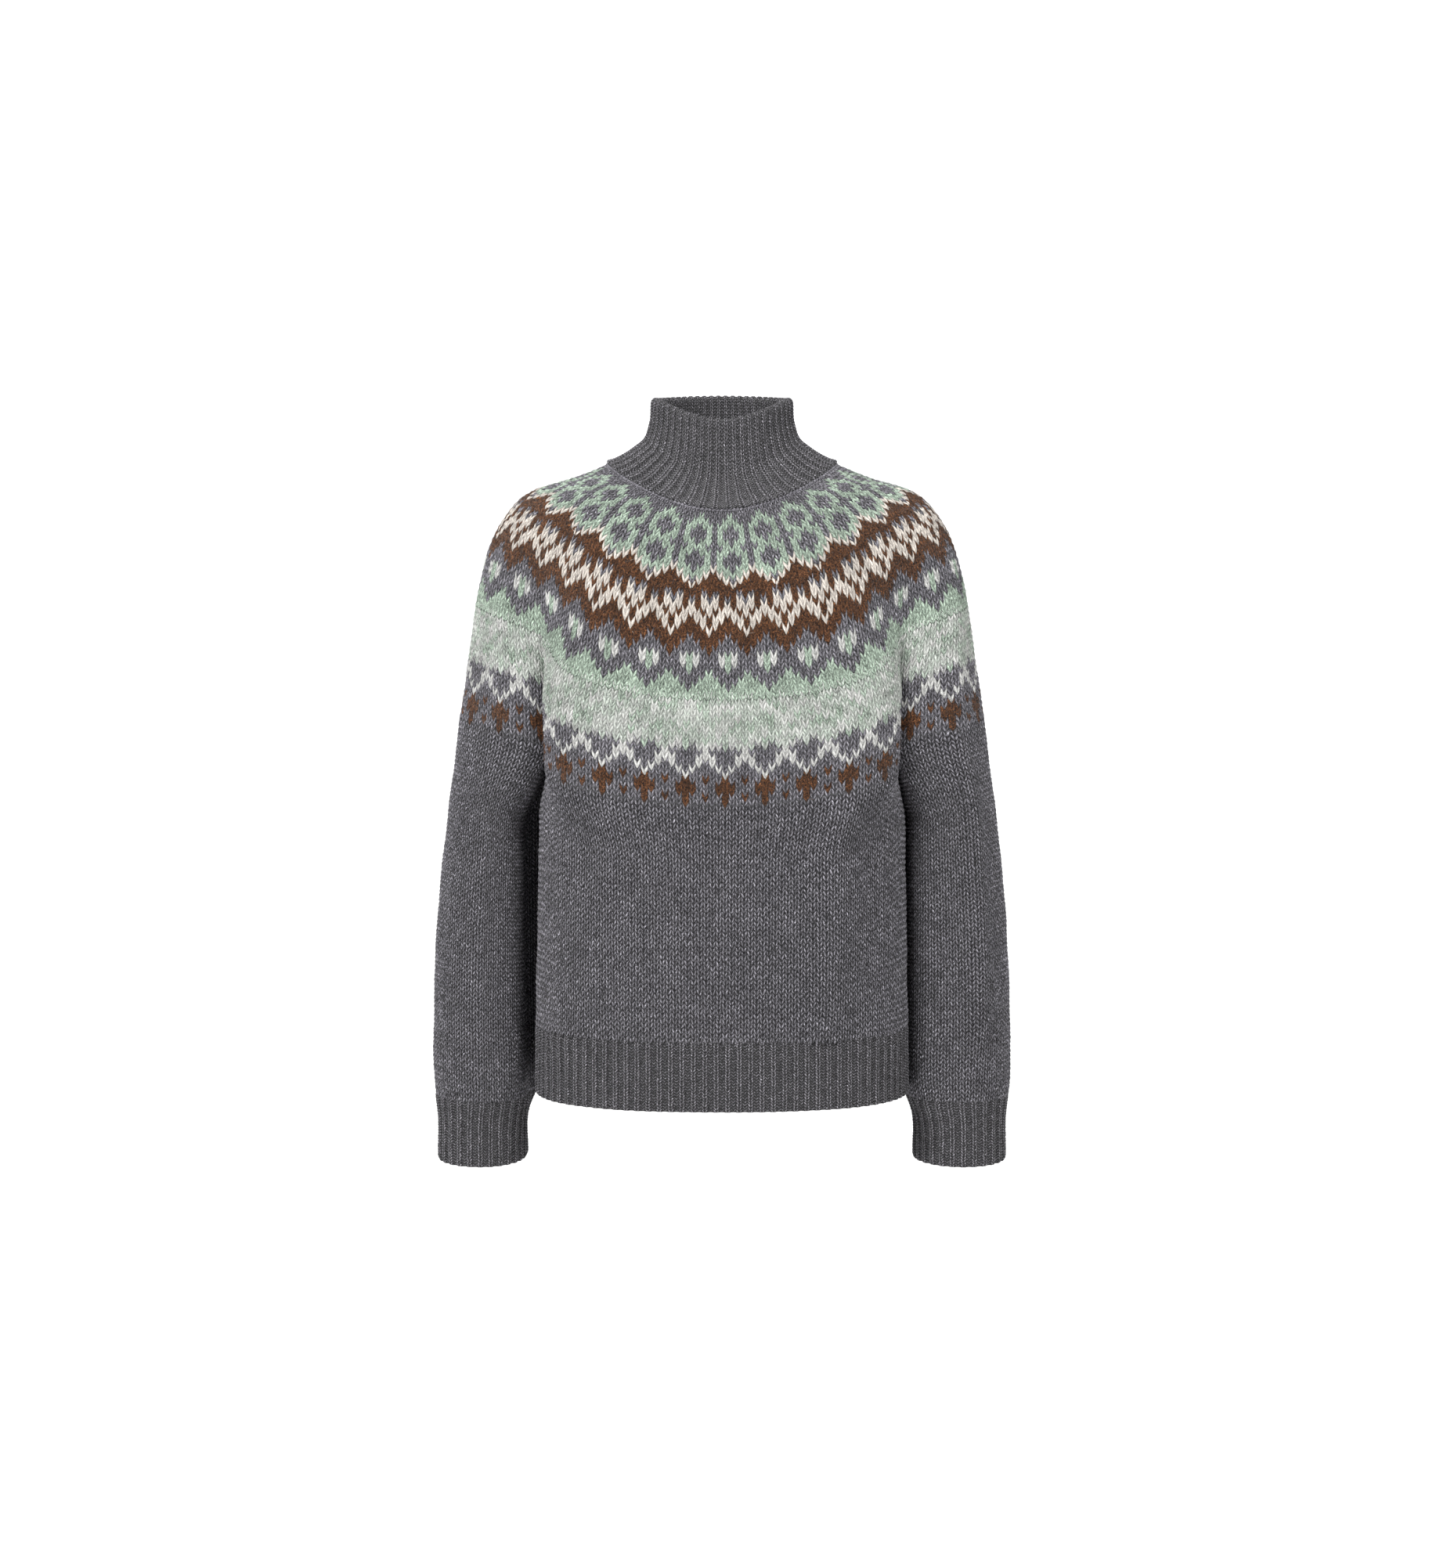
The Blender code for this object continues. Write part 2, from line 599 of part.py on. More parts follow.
def make_band(name, section, top, end, ribs, side=1):
    """A ribbed hem or cuff: ribs outside, plain inside, with its lower edge rounded in."""
    turns = np.arange(2 * ribs) / (2 * ribs)
    plain = band_surface(section, top - SEAM, end, BAND_DEPTHS, turns)
    out = normals(plain, [0, -1])
    outer = ribbed(plain, RIB_RELIEF)
    outer[0] -= out[0] * RIB_RELIEF
    outer[-1] -= out[-1] * RIB_RELIEF
    inner = (plain - RIB_WALL * out)[[0, -1]]
    outer[0, :, 2] = inner[0, :, 2] = top - SEAM
    outer[-1, :, 2] = inner[-1, :, 2] = end
    mirror = np.array([side, 1, 1])
    wall(name, outer * mirror, inner * mirror, "rib_wool")


def make_collar():
    """The doubled collar: it stands a little proud of the yoke and its top edge is rolled."""
    turns = np.arange(2 * COLLAR_RIBS) / (2 * COLLAR_RIBS)
    shares = np.linspace(0, 1, COLLAR_RINGS)
    middle = collar_surface(shares, turns)
    out = -normals(middle)
    up = middle[-1] - middle[-2]
    up = up / np.linalg.norm(up, axis=1, keepdims=True)
    half = COLLAR_WALL / 2
    raised = np.where(np.arange(len(turns)) % 2 == 0, RIB_RELIEF, -RIB_RELIEF)
    outer = middle + out * (half + raised[None, :, None])
    rim = middle[-1] + up * (half + RIM_RELIEF * raised[:, None])
    inner = middle - out * half
    # The lower edge lies square to the yoke that it is joined to.
    yoke_top = yoke_surface([0.0, 0.01, 0.02], turns * YOKE_STITCHES)
    square = normals(yoke_top)[0]
    rise = yoke_top[0] - yoke_top[1]
    lifted = middle[0] + SEAM * rise / np.linalg.norm(rise, axis=1, keepdims=True)
    outer[0] = lifted + square * COLLAR_PROUD
    inner[0] = lifted - square * (COLLAR_WALL - COLLAR_PROUD)
    wall("collar", np.concatenate([outer, rim[None]]), inner, "rib_wool")


def main():
    for old in list(bpy.data.objects):
        bpy.data.objects.remove(old, do_unlink=True)
    make_yoke()
    make_body()
    make_collar()
    make_band("hem_rib", body_section, BODY_END, HEM_END, HEM_RIBS)
    for name, cuff, side in (("sleeve_left", "cuff_left", 1), ("sleeve_right", "cuff_right", -1)):
        make_sleeve(name, side)
        section = functools.partial(sleeve_section, side)
        make_band(cuff, section, SLEEVE_END, CUFF_END, CUFF_RIBS, side)


main()
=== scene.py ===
# %% [markdown]
# # A Nordic yoke pullover, stitch by stitch
# The real pullover is knitted in the round from chunky wool: a ribbed funnel collar, a patterned
# yoke that is one ring of knitting, then the body and two sleeves, each ending in ribbing.
# It could be made by laying a knitted pattern on a smooth cloth as bump, which looks flat at the edges,
# or by modelling every strand, which is far too heavy. Here each stitch is a small raised chevron of
# sixteen triangles, laid on the smooth form of the cloth, so that outline and pattern come from the
# stitches themselves, and light mostly does too; the material adds the yarn's own detail, painted shade
# in the gaps between the legs and painted highlights on their crests.

# %% Load the frame
import math
from functools import partial, partialmethod

import bpy
import numpy as np
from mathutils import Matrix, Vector


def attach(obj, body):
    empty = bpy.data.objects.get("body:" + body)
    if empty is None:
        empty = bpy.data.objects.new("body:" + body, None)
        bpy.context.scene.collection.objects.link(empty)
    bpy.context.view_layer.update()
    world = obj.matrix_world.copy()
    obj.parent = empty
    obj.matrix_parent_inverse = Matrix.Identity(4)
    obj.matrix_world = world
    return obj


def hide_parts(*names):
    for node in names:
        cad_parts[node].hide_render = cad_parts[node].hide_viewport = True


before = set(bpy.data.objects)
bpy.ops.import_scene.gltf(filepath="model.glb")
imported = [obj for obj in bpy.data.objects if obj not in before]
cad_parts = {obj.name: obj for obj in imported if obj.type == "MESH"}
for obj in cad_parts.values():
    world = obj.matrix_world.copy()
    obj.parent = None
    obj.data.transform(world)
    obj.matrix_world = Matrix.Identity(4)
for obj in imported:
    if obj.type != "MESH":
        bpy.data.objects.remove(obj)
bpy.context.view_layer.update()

print("nodes in the frame:", ", ".join(sorted(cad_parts)))

# %% [markdown]
# ## The sizes
# Everything is in metres, with the origin in the middle of the neckline. The form of the cloth
# is given by a few lines and level sections, and the knitting by its stitch counts: 216 stitches
# at the yoke's last round, of which 68 go on as the front, 68 as the back and 40 over each arm.

# %% Sizes and stitch counts
WALL = 0.0030  # thickness of the knitting
COLLAR_WALL = 0.0060  # the collar is folded double
BODY_END, HEM_END = -0.5305, -0.5925
SLEEVE_END, CUFF_END = -0.6050, -0.6665
COLLAR_TOP_HALF_WIDTH = 0.0640
COLLAR_TOP_FRONT = (0.052, 0.050)  # depth from the middle, height
COLLAR_TOP_BACK = (0.057, 0.080)
COLLAR_TOP_SIDE_HEIGHT = 0.0735

FRONT, ARM, UNDERARM = 68, 40, 16
YOKE = 2 * (FRONT + ARM)
BODY = 2 * (FRONT + UNDERARM)
SLEEVE = ARM + UNDERARM
BODY_ROWS, SLEEVE_ROWS = 49, 84
print(f"stitches: yoke {YOKE}, body {BODY}, sleeve {SLEEVE}")

# %% [markdown]
# ## Smooth lines
# A knitter's schematic gives widths at a few heights, and the wool makes everything between them
# smooth. A cubic line through the given points does the same, and it needs no curve object.

# %% Smooth curves
def hermite(values, place, slope, at):
    """A cubic line through values at their places, with their slopes."""
    k = np.clip(np.searchsorted(place, at, side="right") - 1, 0, len(place) - 2)
    span = place[k + 1] - place[k]
    u = ((at - place[k]) / span)[..., None]
    span = span[..., None]
    return (
        (1 + 2 * u) * (1 - u) ** 2 * values[k]
        + u * (1 - u) ** 2 * span * slope[k]
        + u * u * (3 - 2 * u) * values[k + 1]
        - u * u * (1 - u) * span * slope[k + 1]
    )


def travelled(points):
    """How far along a line each of its points is."""
    return np.concatenate([[0.0], np.cumsum(np.linalg.norm(np.diff(points, axis=0), axis=1))])


def smooth_line(rows, at):
    """Points on a smooth line through rows, at shares of its length."""
    rows = np.asarray(rows, float)
    place = travelled(rows)
    return hermite(rows, place, np.gradient(rows, place, axis=0), np.asarray(at, float) * place[-1])


def smooth_table(rows, at):
    """The columns of a table, read smoothly at values of its first column."""
    rows = np.asarray(rows, float)
    rows = rows[np.argsort(rows[:, 0])]
    place = rows[:, 0]
    return hermite(rows[:, 1:], place, np.gradient(rows[:, 1:], place, axis=0),
                   np.clip(at, place[0], place[-1]))


# %% Along a curve
def bezier(p0, p1, p2, p3, steps=48):
    """A curve from p0 to p3 that leaves and arrives in the direction of p1 and p2."""
    u = np.linspace(0, 1, steps + 1)[:, None]
    return (1 - u) ** 3 * p0 + 3 * u * (1 - u) ** 2 * p1 + 3 * u * u * (1 - u) * p2 + u**3 * p3


def between(points, place, at):
    """Points of a line at other places along it than its own."""
    return np.stack([np.interp(at, place, points[:, k]) for k in range(3)], 1)


def along(points, shares):
    place = travelled(points)
    return between(points, place, shares * place[-1])


def length_shares(points):
    """How far each point of a line is along its level length."""
    place = travelled(points[:, :2])
    return place / place[-1]


def ease(x):
    """From 0 to 1, slowly at both ends."""
    x = np.clip(x, 0.0, 1.0)
    return x * x * (3 - 2 * x)


def mix(a, b, share):
    return a + (b - a) * share


# %% [markdown]
# ## The yoke's form
# The yoke hangs from the neckline over the shoulders, and at its lower edge it folds in on itself
# where the arm leaves the body. Five lines run down it: front, back, side, and the two creases
# of the armhole. Each round of knitting is a pair of smooth curves between those lines.

# %% Lines down the yoke
YOKE_LINES = {
    "front": ((0, -0.0900, -0.0330), (0, -0.1010, -0.0640), (0, -0.1110, -0.1150),
              (0, -0.1180, -0.1900), (0, -0.1215, -0.2600), (0, -0.1220, -0.3110)),
    "back": ((0, 0.0850, 0.0070), (0, 0.1000, -0.0300), (0, 0.1120, -0.0900),
             (0, 0.1180, -0.1700), (0, 0.1200, -0.2400), (0, 0.1200, -0.2900)),
    "side": ((0.1095, 0.000, 0.0130), (0.1450, 0.000, -0.0008), (0.1650, 0.001, -0.0062),
             (0.1800, 0.001, -0.0115), (0.1976, 0.002, -0.0230), (0.2120, 0.003, -0.0413),
             (0.2242, 0.003, -0.0656), (0.2340, 0.004, -0.1020), (0.2440, 0.005, -0.1630),
             (0.2510, 0.006, -0.2120), (0.2548, 0.006, -0.2350)),
    "front crease": ((0.0934, -0.0516, -0.0010), (0.1250, -0.0690, -0.0170),
                     (0.1520, -0.0790, -0.0450), (0.1665, -0.0805, -0.0850),
                     (0.1690, -0.0770, -0.1300), (0.1655, -0.0665, -0.1880),
                     (0.1625, -0.0610, -0.2560)),
    "back crease": ((0.0934, 0.0487, 0.0120), (0.1250, 0.0680, -0.0050),
                    (0.1520, 0.0790, -0.0350), (0.1665, 0.0815, -0.0780),
                    (0.1690, 0.0785, -0.1250), (0.1655, 0.0690, -0.1840),
                    (0.1625, 0.0635, -0.2540)),
}
CREASE_FROM, CREASE_OVER = 0.45, 0.38
NECK_ANGLE, OPEN_ANGLE = math.radians(48), math.radians(33)
BODY_ANGLE, ARM_ANGLE = math.radians(108), math.radians(-55)


# %% The yoke's rounds
def quarter(t, end, crease):
    """A quarter of a round: middle of the front or back to the crease, and on to the arm's side."""
    middle = smooth_line(YOKE_LINES[end], [t])[0]
    fold_at = smooth_line(YOKE_LINES[crease], [t])[0]
    side = smooth_line(YOKE_LINES["side"], [t])[0]
    back = -1.0 if end == "back" else 1.0
    fold = ease((t - CREASE_FROM) / CREASE_OVER)
    boxy = ease(t / 0.6)
    rise = side[2] - middle[2]
    open_angle = mix(NECK_ANGLE, OPEN_ANGLE, ease(t / 0.35))
    body_angle, arm_angle = mix(open_angle, BODY_ANGLE, fold), mix(open_angle, ARM_ANGLE, fold)
    into = np.array([math.cos(body_angle), back * math.sin(body_angle), 0.0])
    out = np.array([math.cos(arm_angle), back * math.sin(arm_angle), 0.0])
    chest, arm = np.linalg.norm((fold_at - middle)[:2]), np.linalg.norm((side - fold_at)[:2])
    body = bezier(
        middle,
        middle + np.array([mix(0.40, 0.84, boxy) * fold_at[0], 0.0, 0.0]),
        fold_at - into * 0.32 * chest - np.array([0.0, 0.0, 0.30 * rise]),
        fold_at,
    )
    sleeve = bezier(
        fold_at,
        fold_at + out * mix(0.36, 0.31, fold) * arm + np.array([0, 0, 0.20 * rise]),
        side - np.array([0.0, back * mix(0.332, 0.615, boxy) * arm, 0.0]),
        side,
    )
    # Where the cloth is folded, a round climbs to the arm mostly out of sight, inside the fold.
    at = length_shares(body)
    hung = middle[2] + 0.50 * rise * at**2
    hung += (fold_at[2] - middle[2] - 0.50 * rise) * ease((at - 0.78) / 0.22)
    body[:, 2] = mix(body[:, 2], hung, fold)
    hung = side[2] + (fold_at[2] - side[2]) * (1 - length_shares(sleeve)) ** 1.6
    sleeve[:, 2] = mix(sleeve[:, 2], hung, fold)
    return body, sleeve


# %% Whole rounds
def yoke_round(t, stitches):
    """One round of the yoke, made of four quarters that meet at the middles and the creases."""
    half = FRONT // 2
    turn = half + ARM // 2
    s = np.mod(stitches, YOKE)
    left = s > YOKE / 2
    s = np.where(left, YOKE - s, s)
    points = np.zeros((len(s), 3))
    for end, crease, behind in (("front", "front crease", False), ("back", "back crease", True)):
        body, sleeve = quarter(t, end, crease)
        own = np.where(behind, 2 * turn - s, s)
        here = (s > turn) == behind
        share = own / half
        share = share - 0.05 * np.sin(2 * np.pi * share) / (2 * np.pi)
        points = np.where((here & (own <= half))[:, None], along(body, share), points)
        share = (own - half) / (turn - half)
        points = np.where((here & (own > half))[:, None], along(sleeve, share), points)
    points[:, 0] = np.where(left, -points[:, 0], points[:, 0])
    return points


def yoke_surface(shares, stitches):
    """The yoke's rounds at shares of its depth. Stitch 0 is the middle of the front."""
    every = np.arange(0, YOKE, 0.5)
    reach = np.arange(-8, 9)
    place, at = np.append(every, YOKE), np.mod(stitches, YOKE)
    grid = []
    for t in shares:
        ring = yoke_round(t, every)
        weight = np.exp(-0.5 * (reach / (0.4 + 1.1 * ease((t - CREASE_FROM) / CREASE_OVER))) ** 2)
        soft = sum(w * np.roll(ring, -k, axis=0) for k, w in zip(reach, weight / weight.sum()))
        closed = np.vstack([soft, soft[:1]])
        grid.append(between(closed, place, at))
    return np.array(grid)


last_round = yoke_surface([1.0], np.arange(YOKE))[0]
print(f"the yoke's last round is {travelled(last_round)[-1]:.2f} m")

# %% [markdown]
# ## The body and the sleeves
# Below the yoke the stitches are shared out. A tube starts from its part of the yoke's last
# round, with a short row of stitches cast on under the arm, and settles into level sections.

# %% Level sections
BODY_SECTIONS = (
    # height, half width, depth in front, depth behind, squareness
    (-0.260, 0.1765, 0.1220, 0.1200, 2.60), (-0.360, 0.1765, 0.1215, 0.1195, 2.50),
    (-0.450, 0.1780, 0.1205, 0.1185, 2.45), (-0.530, 0.1795, 0.1190, 0.1170, 2.40),
    (-0.593, 0.1800, 0.1180, 0.1160, 2.40),
)
SLEEVE_SECTIONS = (
    # height, middle across, middle back, half width, half depth, how far the wearer's right
    # sleeve draws away from the body in front, how far a sleeve bulges to the body behind
    (-0.238, 0.2180, 0.006, 0.0371, 0.0655, 0.0120, 0.0080),
    (-0.300, 0.2216, 0.012, 0.0416, 0.0640, 0.0126, 0.0080),
    (-0.372, 0.2264, 0.023, 0.0462, 0.0605, 0.0132, 0.0080),
    (-0.448, 0.2299, 0.031, 0.0498, 0.0570, 0.0132, 0.0080),
    (-0.524, 0.2312, 0.034, 0.0512, 0.0545, 0.0126, 0.0080),
    (-0.595, 0.2310, 0.035, 0.0505, 0.0535, 0.0096, 0.0050),
    (-0.605, 0.2312, 0.035, 0.0490, 0.0522, 0.0080, 0.0030),
    (-0.618, 0.2326, 0.035, 0.0463, 0.0495, 0.0056, 0.0010),
    (-0.6665, 0.2332, 0.035, 0.0448, 0.0480, 0.0044, 0.0000),
)


# %% First rounds
def join(parts, columns):
    """Points at given columns of a ring that is made of several lines, end to end."""
    ring = np.vstack([p[:-1] for p in parts])
    closed = np.vstack([ring, ring[:1]])
    return between(closed, np.arange(len(closed)) / 2, np.mod(columns, len(ring) / 2))


def underarm(start, end, inward):
    """The row that is cast on under the arm, which sags a little."""
    u = np.linspace(0, 1, 2 * UNDERARM + 1)[:, None]
    line = mix(start, end, u)
    line[:, 2] -= 0.006 * np.sin(np.pi * u[:, 0])
    line[:, 0] -= inward * 0.0012 * np.sin(np.pi * u[:, 0])
    return line


def last_of_yoke(first, last):
    return yoke_surface([1.0], first + np.arange(2 * (last - first) + 1) / 2)[0]


def body_start(columns):
    half = FRONT // 2
    right, back = last_of_yoke(0, half), last_of_yoke(half + ARM, half + ARM + FRONT)
    left = last_of_yoke(YOKE - half, YOKE)
    under_right, under_left = underarm(right[-1], back[0], 1.0), underarm(back[-1], left[0], -1.0)
    return join([right, under_right, back, under_left, left], columns)


def sleeve_start(columns):
    over = last_of_yoke(FRONT // 2, FRONT // 2 + ARM)
    return join([over, underarm(over[-1], over[0], -1.0)], columns)


# %% Body form
def level_section(half_width, front, back, squareness, turns):
    """A level oval with flattened sides, deeper in front or behind."""
    angle = np.linspace(0, 2 * np.pi, 721)
    power = 2 / squareness
    x = half_width * np.sign(np.sin(angle)) * np.abs(np.sin(angle)) ** power
    depth = np.where(np.cos(angle) > 0, front, back)
    y = -depth * np.sign(np.cos(angle)) * np.abs(np.cos(angle)) ** power
    return along(np.stack([x, y, np.zeros_like(x)], 1), np.mod(turns, 1.0))


def body_section(heights, turns):
    ring = level_section(*smooth_table(BODY_SECTIONS, heights[:1])[0], turns)
    ring[:, 2] = heights
    return ring


def body_surface(shares, columns):
    start, turns = body_start(columns), columns / BODY
    own = start - body_section(start[:, 2].mean() + 0 * turns, turns)
    grid = []
    for v in shares:
        ring = body_section(mix(start[:, 2].mean(), BODY_END, v) + 0 * turns, turns)
        ring = ring + own * (1 - ease(v / 0.25))
        ring[:, 2] = mix(start[:, 2], BODY_END, v)
        grid.append(ring)
    return np.array(grid)


# %% Sleeve form
def sleeve_section(side, heights, turns):
    """Both are made on the viewer's right, and side -1 is mirrored when it is done."""
    across, back, half_width, half_depth, drawn, tuck = smooth_table(SLEEVE_SECTIONS, heights).T
    angle = 2 * np.pi * turns
    inner = np.clip(-np.cos(angle), 0.0, 1.0)
    square = 1 + 12.0 * tuck * (inner > 0) * np.sin(2 * angle) ** 2
    y = half_depth * np.sin(angle) * square
    front = 1 - ease(y / (0.6 * half_depth))
    x = half_width * np.cos(angle) * square + inner * mix(-tuck, drawn * (side < 0), front)
    return np.stack([across + x, back + y, heights], 1)


def sleeve_surface(side, shares, columns):
    start, turns = sleeve_start(columns), (columns - ARM / 2) / SLEEVE
    own = start - sleeve_section(side, start[:, 2], turns)
    grid = []
    for v in shares:
        ring = sleeve_section(side, mix(start[:, 2], SLEEVE_END, v), turns)
        ring[:, :2] += own[:, :2] * (1 - ease(v / 0.22))
        grid.append(ring)
    return np.array(grid)


# %% [markdown]
# ## Soft folds
# Filled-out knitting is never smooth. Where the arm hangs, the cloth makes long soft ridges and
# hollows that run down from the armhole. Each one here is a line along the knitting, a width
# counted in stitches and a height, and they differ from side to side as they do in wear.

# %% Table of folds
FOLD_ENDS = 0.22  # share of the piece over which a fold rises and dies away
FOLDS = {
    # the side that has it (0 is any), its columns at its start and its end, where down the piece
    # it starts and ends, its half width in stitches, its height
    "yoke": (
        (0, 44.6, 43.4, 0.50, 1.40, 1.7, 0.0040), (0, 39.5, 39.0, 0.62, 1.40, 1.8, -0.0020),
        (0, 171.0, 170.0, 0.60, 1.40, 2.0, -0.0024), (0, 24.0, 23.5, 0.55, 1.40, 2.2, -0.0026),
        (0, 18.0, 18.5, 0.66, 1.40, 2.2, 0.0024), (0, 192.0, 191.0, 0.66, 1.40, 2.2, -0.0020),
        (0, 86.0, 84.0, 0.60, 1.40, 2.4, -0.0026), (0, 131.5, 133.0, 0.58, 1.40, 2.2, -0.0026),
    ),
    "body": (
        (0, 23.5, 27.0, -0.40, 0.92, 2.2, -0.0034), (0, 18.5, 17.0, -0.30, 1.25, 2.2, 0.0034),
        (0, 143.0, 145.0, -0.40, 0.50, 2.2, -0.0022), (0, 60.0, 64.0, -0.40, 0.62, 2.4, -0.0026),
        (0, 109.0, 105.0, -0.40, 0.70, 2.4, -0.0026), (0, 69.0, 66.0, 0.40, 1.40, 3.0, 0.0026),
        (0, 92.0, 90.0, 0.45, 1.40, 3.4, 0.0022), (0, 18.2, 17.6, 0.03, 0.98, 1.9, 0.0034),
    ),
    "sleeve": (
        (1, 9.4, 8.4, -0.40, 0.96, 1.7, 0.0054), (1, 5.0, 4.6, -0.40, 0.90, 1.9, -0.0026),
        (1, 14.0, 15.0, 0.10, 0.85, 2.0, -0.0022), (1, 33.0, 31.0, 0.05, 0.85, 2.1, 0.0026),
        (1, 39.0, 37.0, 0.45, 1.30, 2.0, -0.0020), (-1, 12.0, 10.0, -0.40, 0.45, 2.0, -0.0022),
        (-1, 5.0, 6.8, 0.30, 0.92, 2.0, 0.0024), (-1, 35.0, 33.0, 0.05, 0.75, 2.1, 0.0026),
        (-1, 29.0, 28.0, 0.50, 1.30, 2.0, -0.0020), (1, 9.6, 9.0, 0.03, 0.95, 1.3, 0.0032),
    ),
}


# %% Lift of the folds
def fold_lift(piece, side, shares, columns, stitches):
    """How far the folds lift each point; shares and columns are grids of the same shape."""
    lift = np.zeros(shares.shape)
    for own, first, last, start, end, half_width, height in FOLDS[piece]:
        if own in (0, side):
            middle = mix(first, last, np.clip((shares - start) / (end - start), 0, 1))
            off = np.mod(columns - middle + stitches / 2, stitches) - stitches / 2
            length = ease((shares - start) / FOLD_ENDS) * ease((end - shares) / FOLD_ENDS)
            lift += height * length * np.exp(-0.5 * (off / half_width) ** 2)
    return lift


def uneven(points, size):
    """A slow wander of the surface, a few centimetres from one swell to the next."""
    x, y, z = points[..., 0], points[..., 1], points[..., 2]
    return size * (np.sin(61 * x + 23 * z + 1.3) * np.cos(47 * z - 31 * y + 0.4)
                   + 0.6 * np.sin(113 * z + 71 * y - 59 * x + 2.1))


print(f"{sum(len(rows) for rows in FOLDS.values())} folds")

# %% [markdown]
# ## Yarns
# Four colours of wool, with two whites, because the crown is knitted with a warmer cream. Wool is
# heathered: dark and light fibres are carded together. The last number is how brushed the yarn is.
# Brushed brown hides its own stitches under a haze of fibre, and the others hardly do. The ribs' charcoal
# is the same yarn painted a little lighter, as painted light that makes up for the shade their furrows
# sink into.

# %% Yarn colours
YARNS = {
    "g": (0.118, 0.1134, 0.1263, 0.10),  # charcoal
    "m": (0.240, 0.296, 0.240, 0.45),  # mint
    "w": (0.410, 0.408, 0.394, 0.35),  # cool off-white
    "c": (0.450, 0.410, 0.368, 0.30),  # warm cream
    "b": (0.056, 0.0225, 0.0088, 1.00),  # brown
    # The ribs' charcoal is painted lighter to make up for the shade in their furrows.
    "r": (0.140, 0.1335, 0.1470, 0.10),  # charcoal of the ribs
}

# %% [markdown]
# ## The chart
# Nordic yokes are knitted from a chart of one repeat, six stitches wide and the same on both
# sides of its middle. A row here is four letters: the middle stitch, the next, the next and the
# stitch halfway to the next repeat. Rounds with fewer stitches follow as the yoke narrows, so
# there are three bands, each with its own stitch count, from the collar down.

# %% The yoke's chart
REPEAT = 6  # stitches
LEAVES = """gggg gggg mggg mmgg gmmg ggmg ggmg gmmg mmgg gmmg ggmg ggmg gmmc mmcb gcbb cbbb
bbbb""".split()
CROWN = """bbbb bbbb bbgb gbcg cbcc ccbc bccb bbcb bbbc gbbb ggbb gggb mwgg mwgg mggg gggm ggmm
gmmm mmmm mmmm""".split()
HEARTS = """mmmm mmmm wmmm wwmm mwwm mmww mmmw wmmm wwmm mwwm mgww gggw ggww ggwg gwgg wggg bggb bbgg
bbgg bggb bggg""".split()
MARLED_ROWS = 11  # the hearts' first rows, in which mint and white are blended at random

BANDS = (
    # chart, stitches in the round, shift of the first stitch in the last round's stitches,
    # stitch in the middle of a repeat, where down the yoke each row starts and ends
    (LEAVES, 162, 0.2, 1, np.concatenate([[0.0, 0.013, 0.031], np.linspace(0.0496, 0.2298, 11),
                                          [0.249, 0.267, 0.2825, 0.2915]])),
    (CROWN, 198, 0.5, 0, np.concatenate([[0.2493, 0.2704], np.linspace(0.2915, 0.4390, 8),
                                         [0.4604, 0.4817], np.linspace(0.5031, 0.6400, 8), [0.6510]])),
    (HEARTS, 216, 0.0, 0, np.concatenate([[0.6143, 0.6326], np.linspace(0.6510, 1.0, 20)])),
)
for chart, count, shift, middle, rows in BANDS:
    print(f"{len(chart)} rounds of {count} stitches, {count // REPEAT} repeats")

# %% [markdown]
# ## One stitch
# Plain knitting shows columns of little Vs. Each V has two legs, which lean out from the middle
# of the column, and the wool is low between the legs, between columns and between rows. On the
# mesh a stitch is four faces across and two up. Its points slide up towards the column's edges,
# so rows become zigzags, and a stitch of another colour gets its true V shape with no texture.

# %% The stitch's relief
SLANT = 1.05  # how far a leg climbs from the middle to the edge, in rows
SETTLE = 1.15  # rows in which the zigzag grows from a straight edge
LOOSE = 0.00032  # how far hand knitting puts a stitch out of its place
ACROSS = np.array([0.0, 0.25, 0.5, 0.75])  # a stitch's four columns of points
CLIMB = SLANT * np.abs(2 * ACROSS - 1)
LEG_RELIEF = np.array([-0.00085, 0.00050, -0.00040, 0.00050])
ROW_RELIEF = np.array([-0.00035, 0.00030])  # between rows, and in the middle of one
LAP_DEPTH = 0.0008  # how deep a band's first rows lie under the band above
LAP_RISE = 4.0  # steps in which they come up to the surface
LAP_RELIEF = 0.3  # share of their relief that stitches keep under the lap
UNEVEN = 0.00035  # how far the surface wanders
INSIDE_ROWS = 3  # rows of stitches to one row of faces inside the body and sleeves


# %% Points of a knitted tube
def stitch_tube(surface, rows, count, stitches, shift, free_start, free_end):
    """Points of a knitted tube, four across and two up each stitch, with their shares and columns.

    rows are the shares at which its rows of knitting start and end. At a free end the row's edge
    is left in its zigzag, and at the others it is made straight.
    """
    steps = np.arange(2 * len(rows) - 1) / 2
    level = np.zeros((len(steps), 4))
    for k in range(4):
        climb = CLIMB[k] * np.ones(len(steps))
        if not free_start:
            climb *= np.clip(steps / SETTLE, 0, 1)
        if not free_end:
            climb *= np.clip((steps[-1] - steps) / SETTLE, 0, 1)
        level[:, k] = np.interp(steps - climb, np.arange(len(rows)), rows)
    grid = np.zeros((len(steps), 4 * count, 3))
    scale = stitches / count
    columns = np.arange(4 * count) / 4 * scale + shift
    for k in (0, 1, 2):
        pick = np.isin(np.arange(4 * count) % 4, (k, 4 - k) if k else (0,))
        grid[:, pick] = surface(level[:, k], columns[pick])
    shares = np.tile(level, (1, count))
    return grid, shares, np.broadcast_to(columns, shares.shape).copy()


# %% Raise the stitches
def unit(v):
    return v / np.maximum(np.linalg.norm(v, axis=-1, keepdims=True), 1e-12)


def normals(grid):
    """Outward unit normals of a tube whose rings run downwards."""
    over = np.roll(grid, -1, axis=1) - np.roll(grid, 1, axis=1)
    return unit(np.cross(np.gradient(grid, axis=0), over))


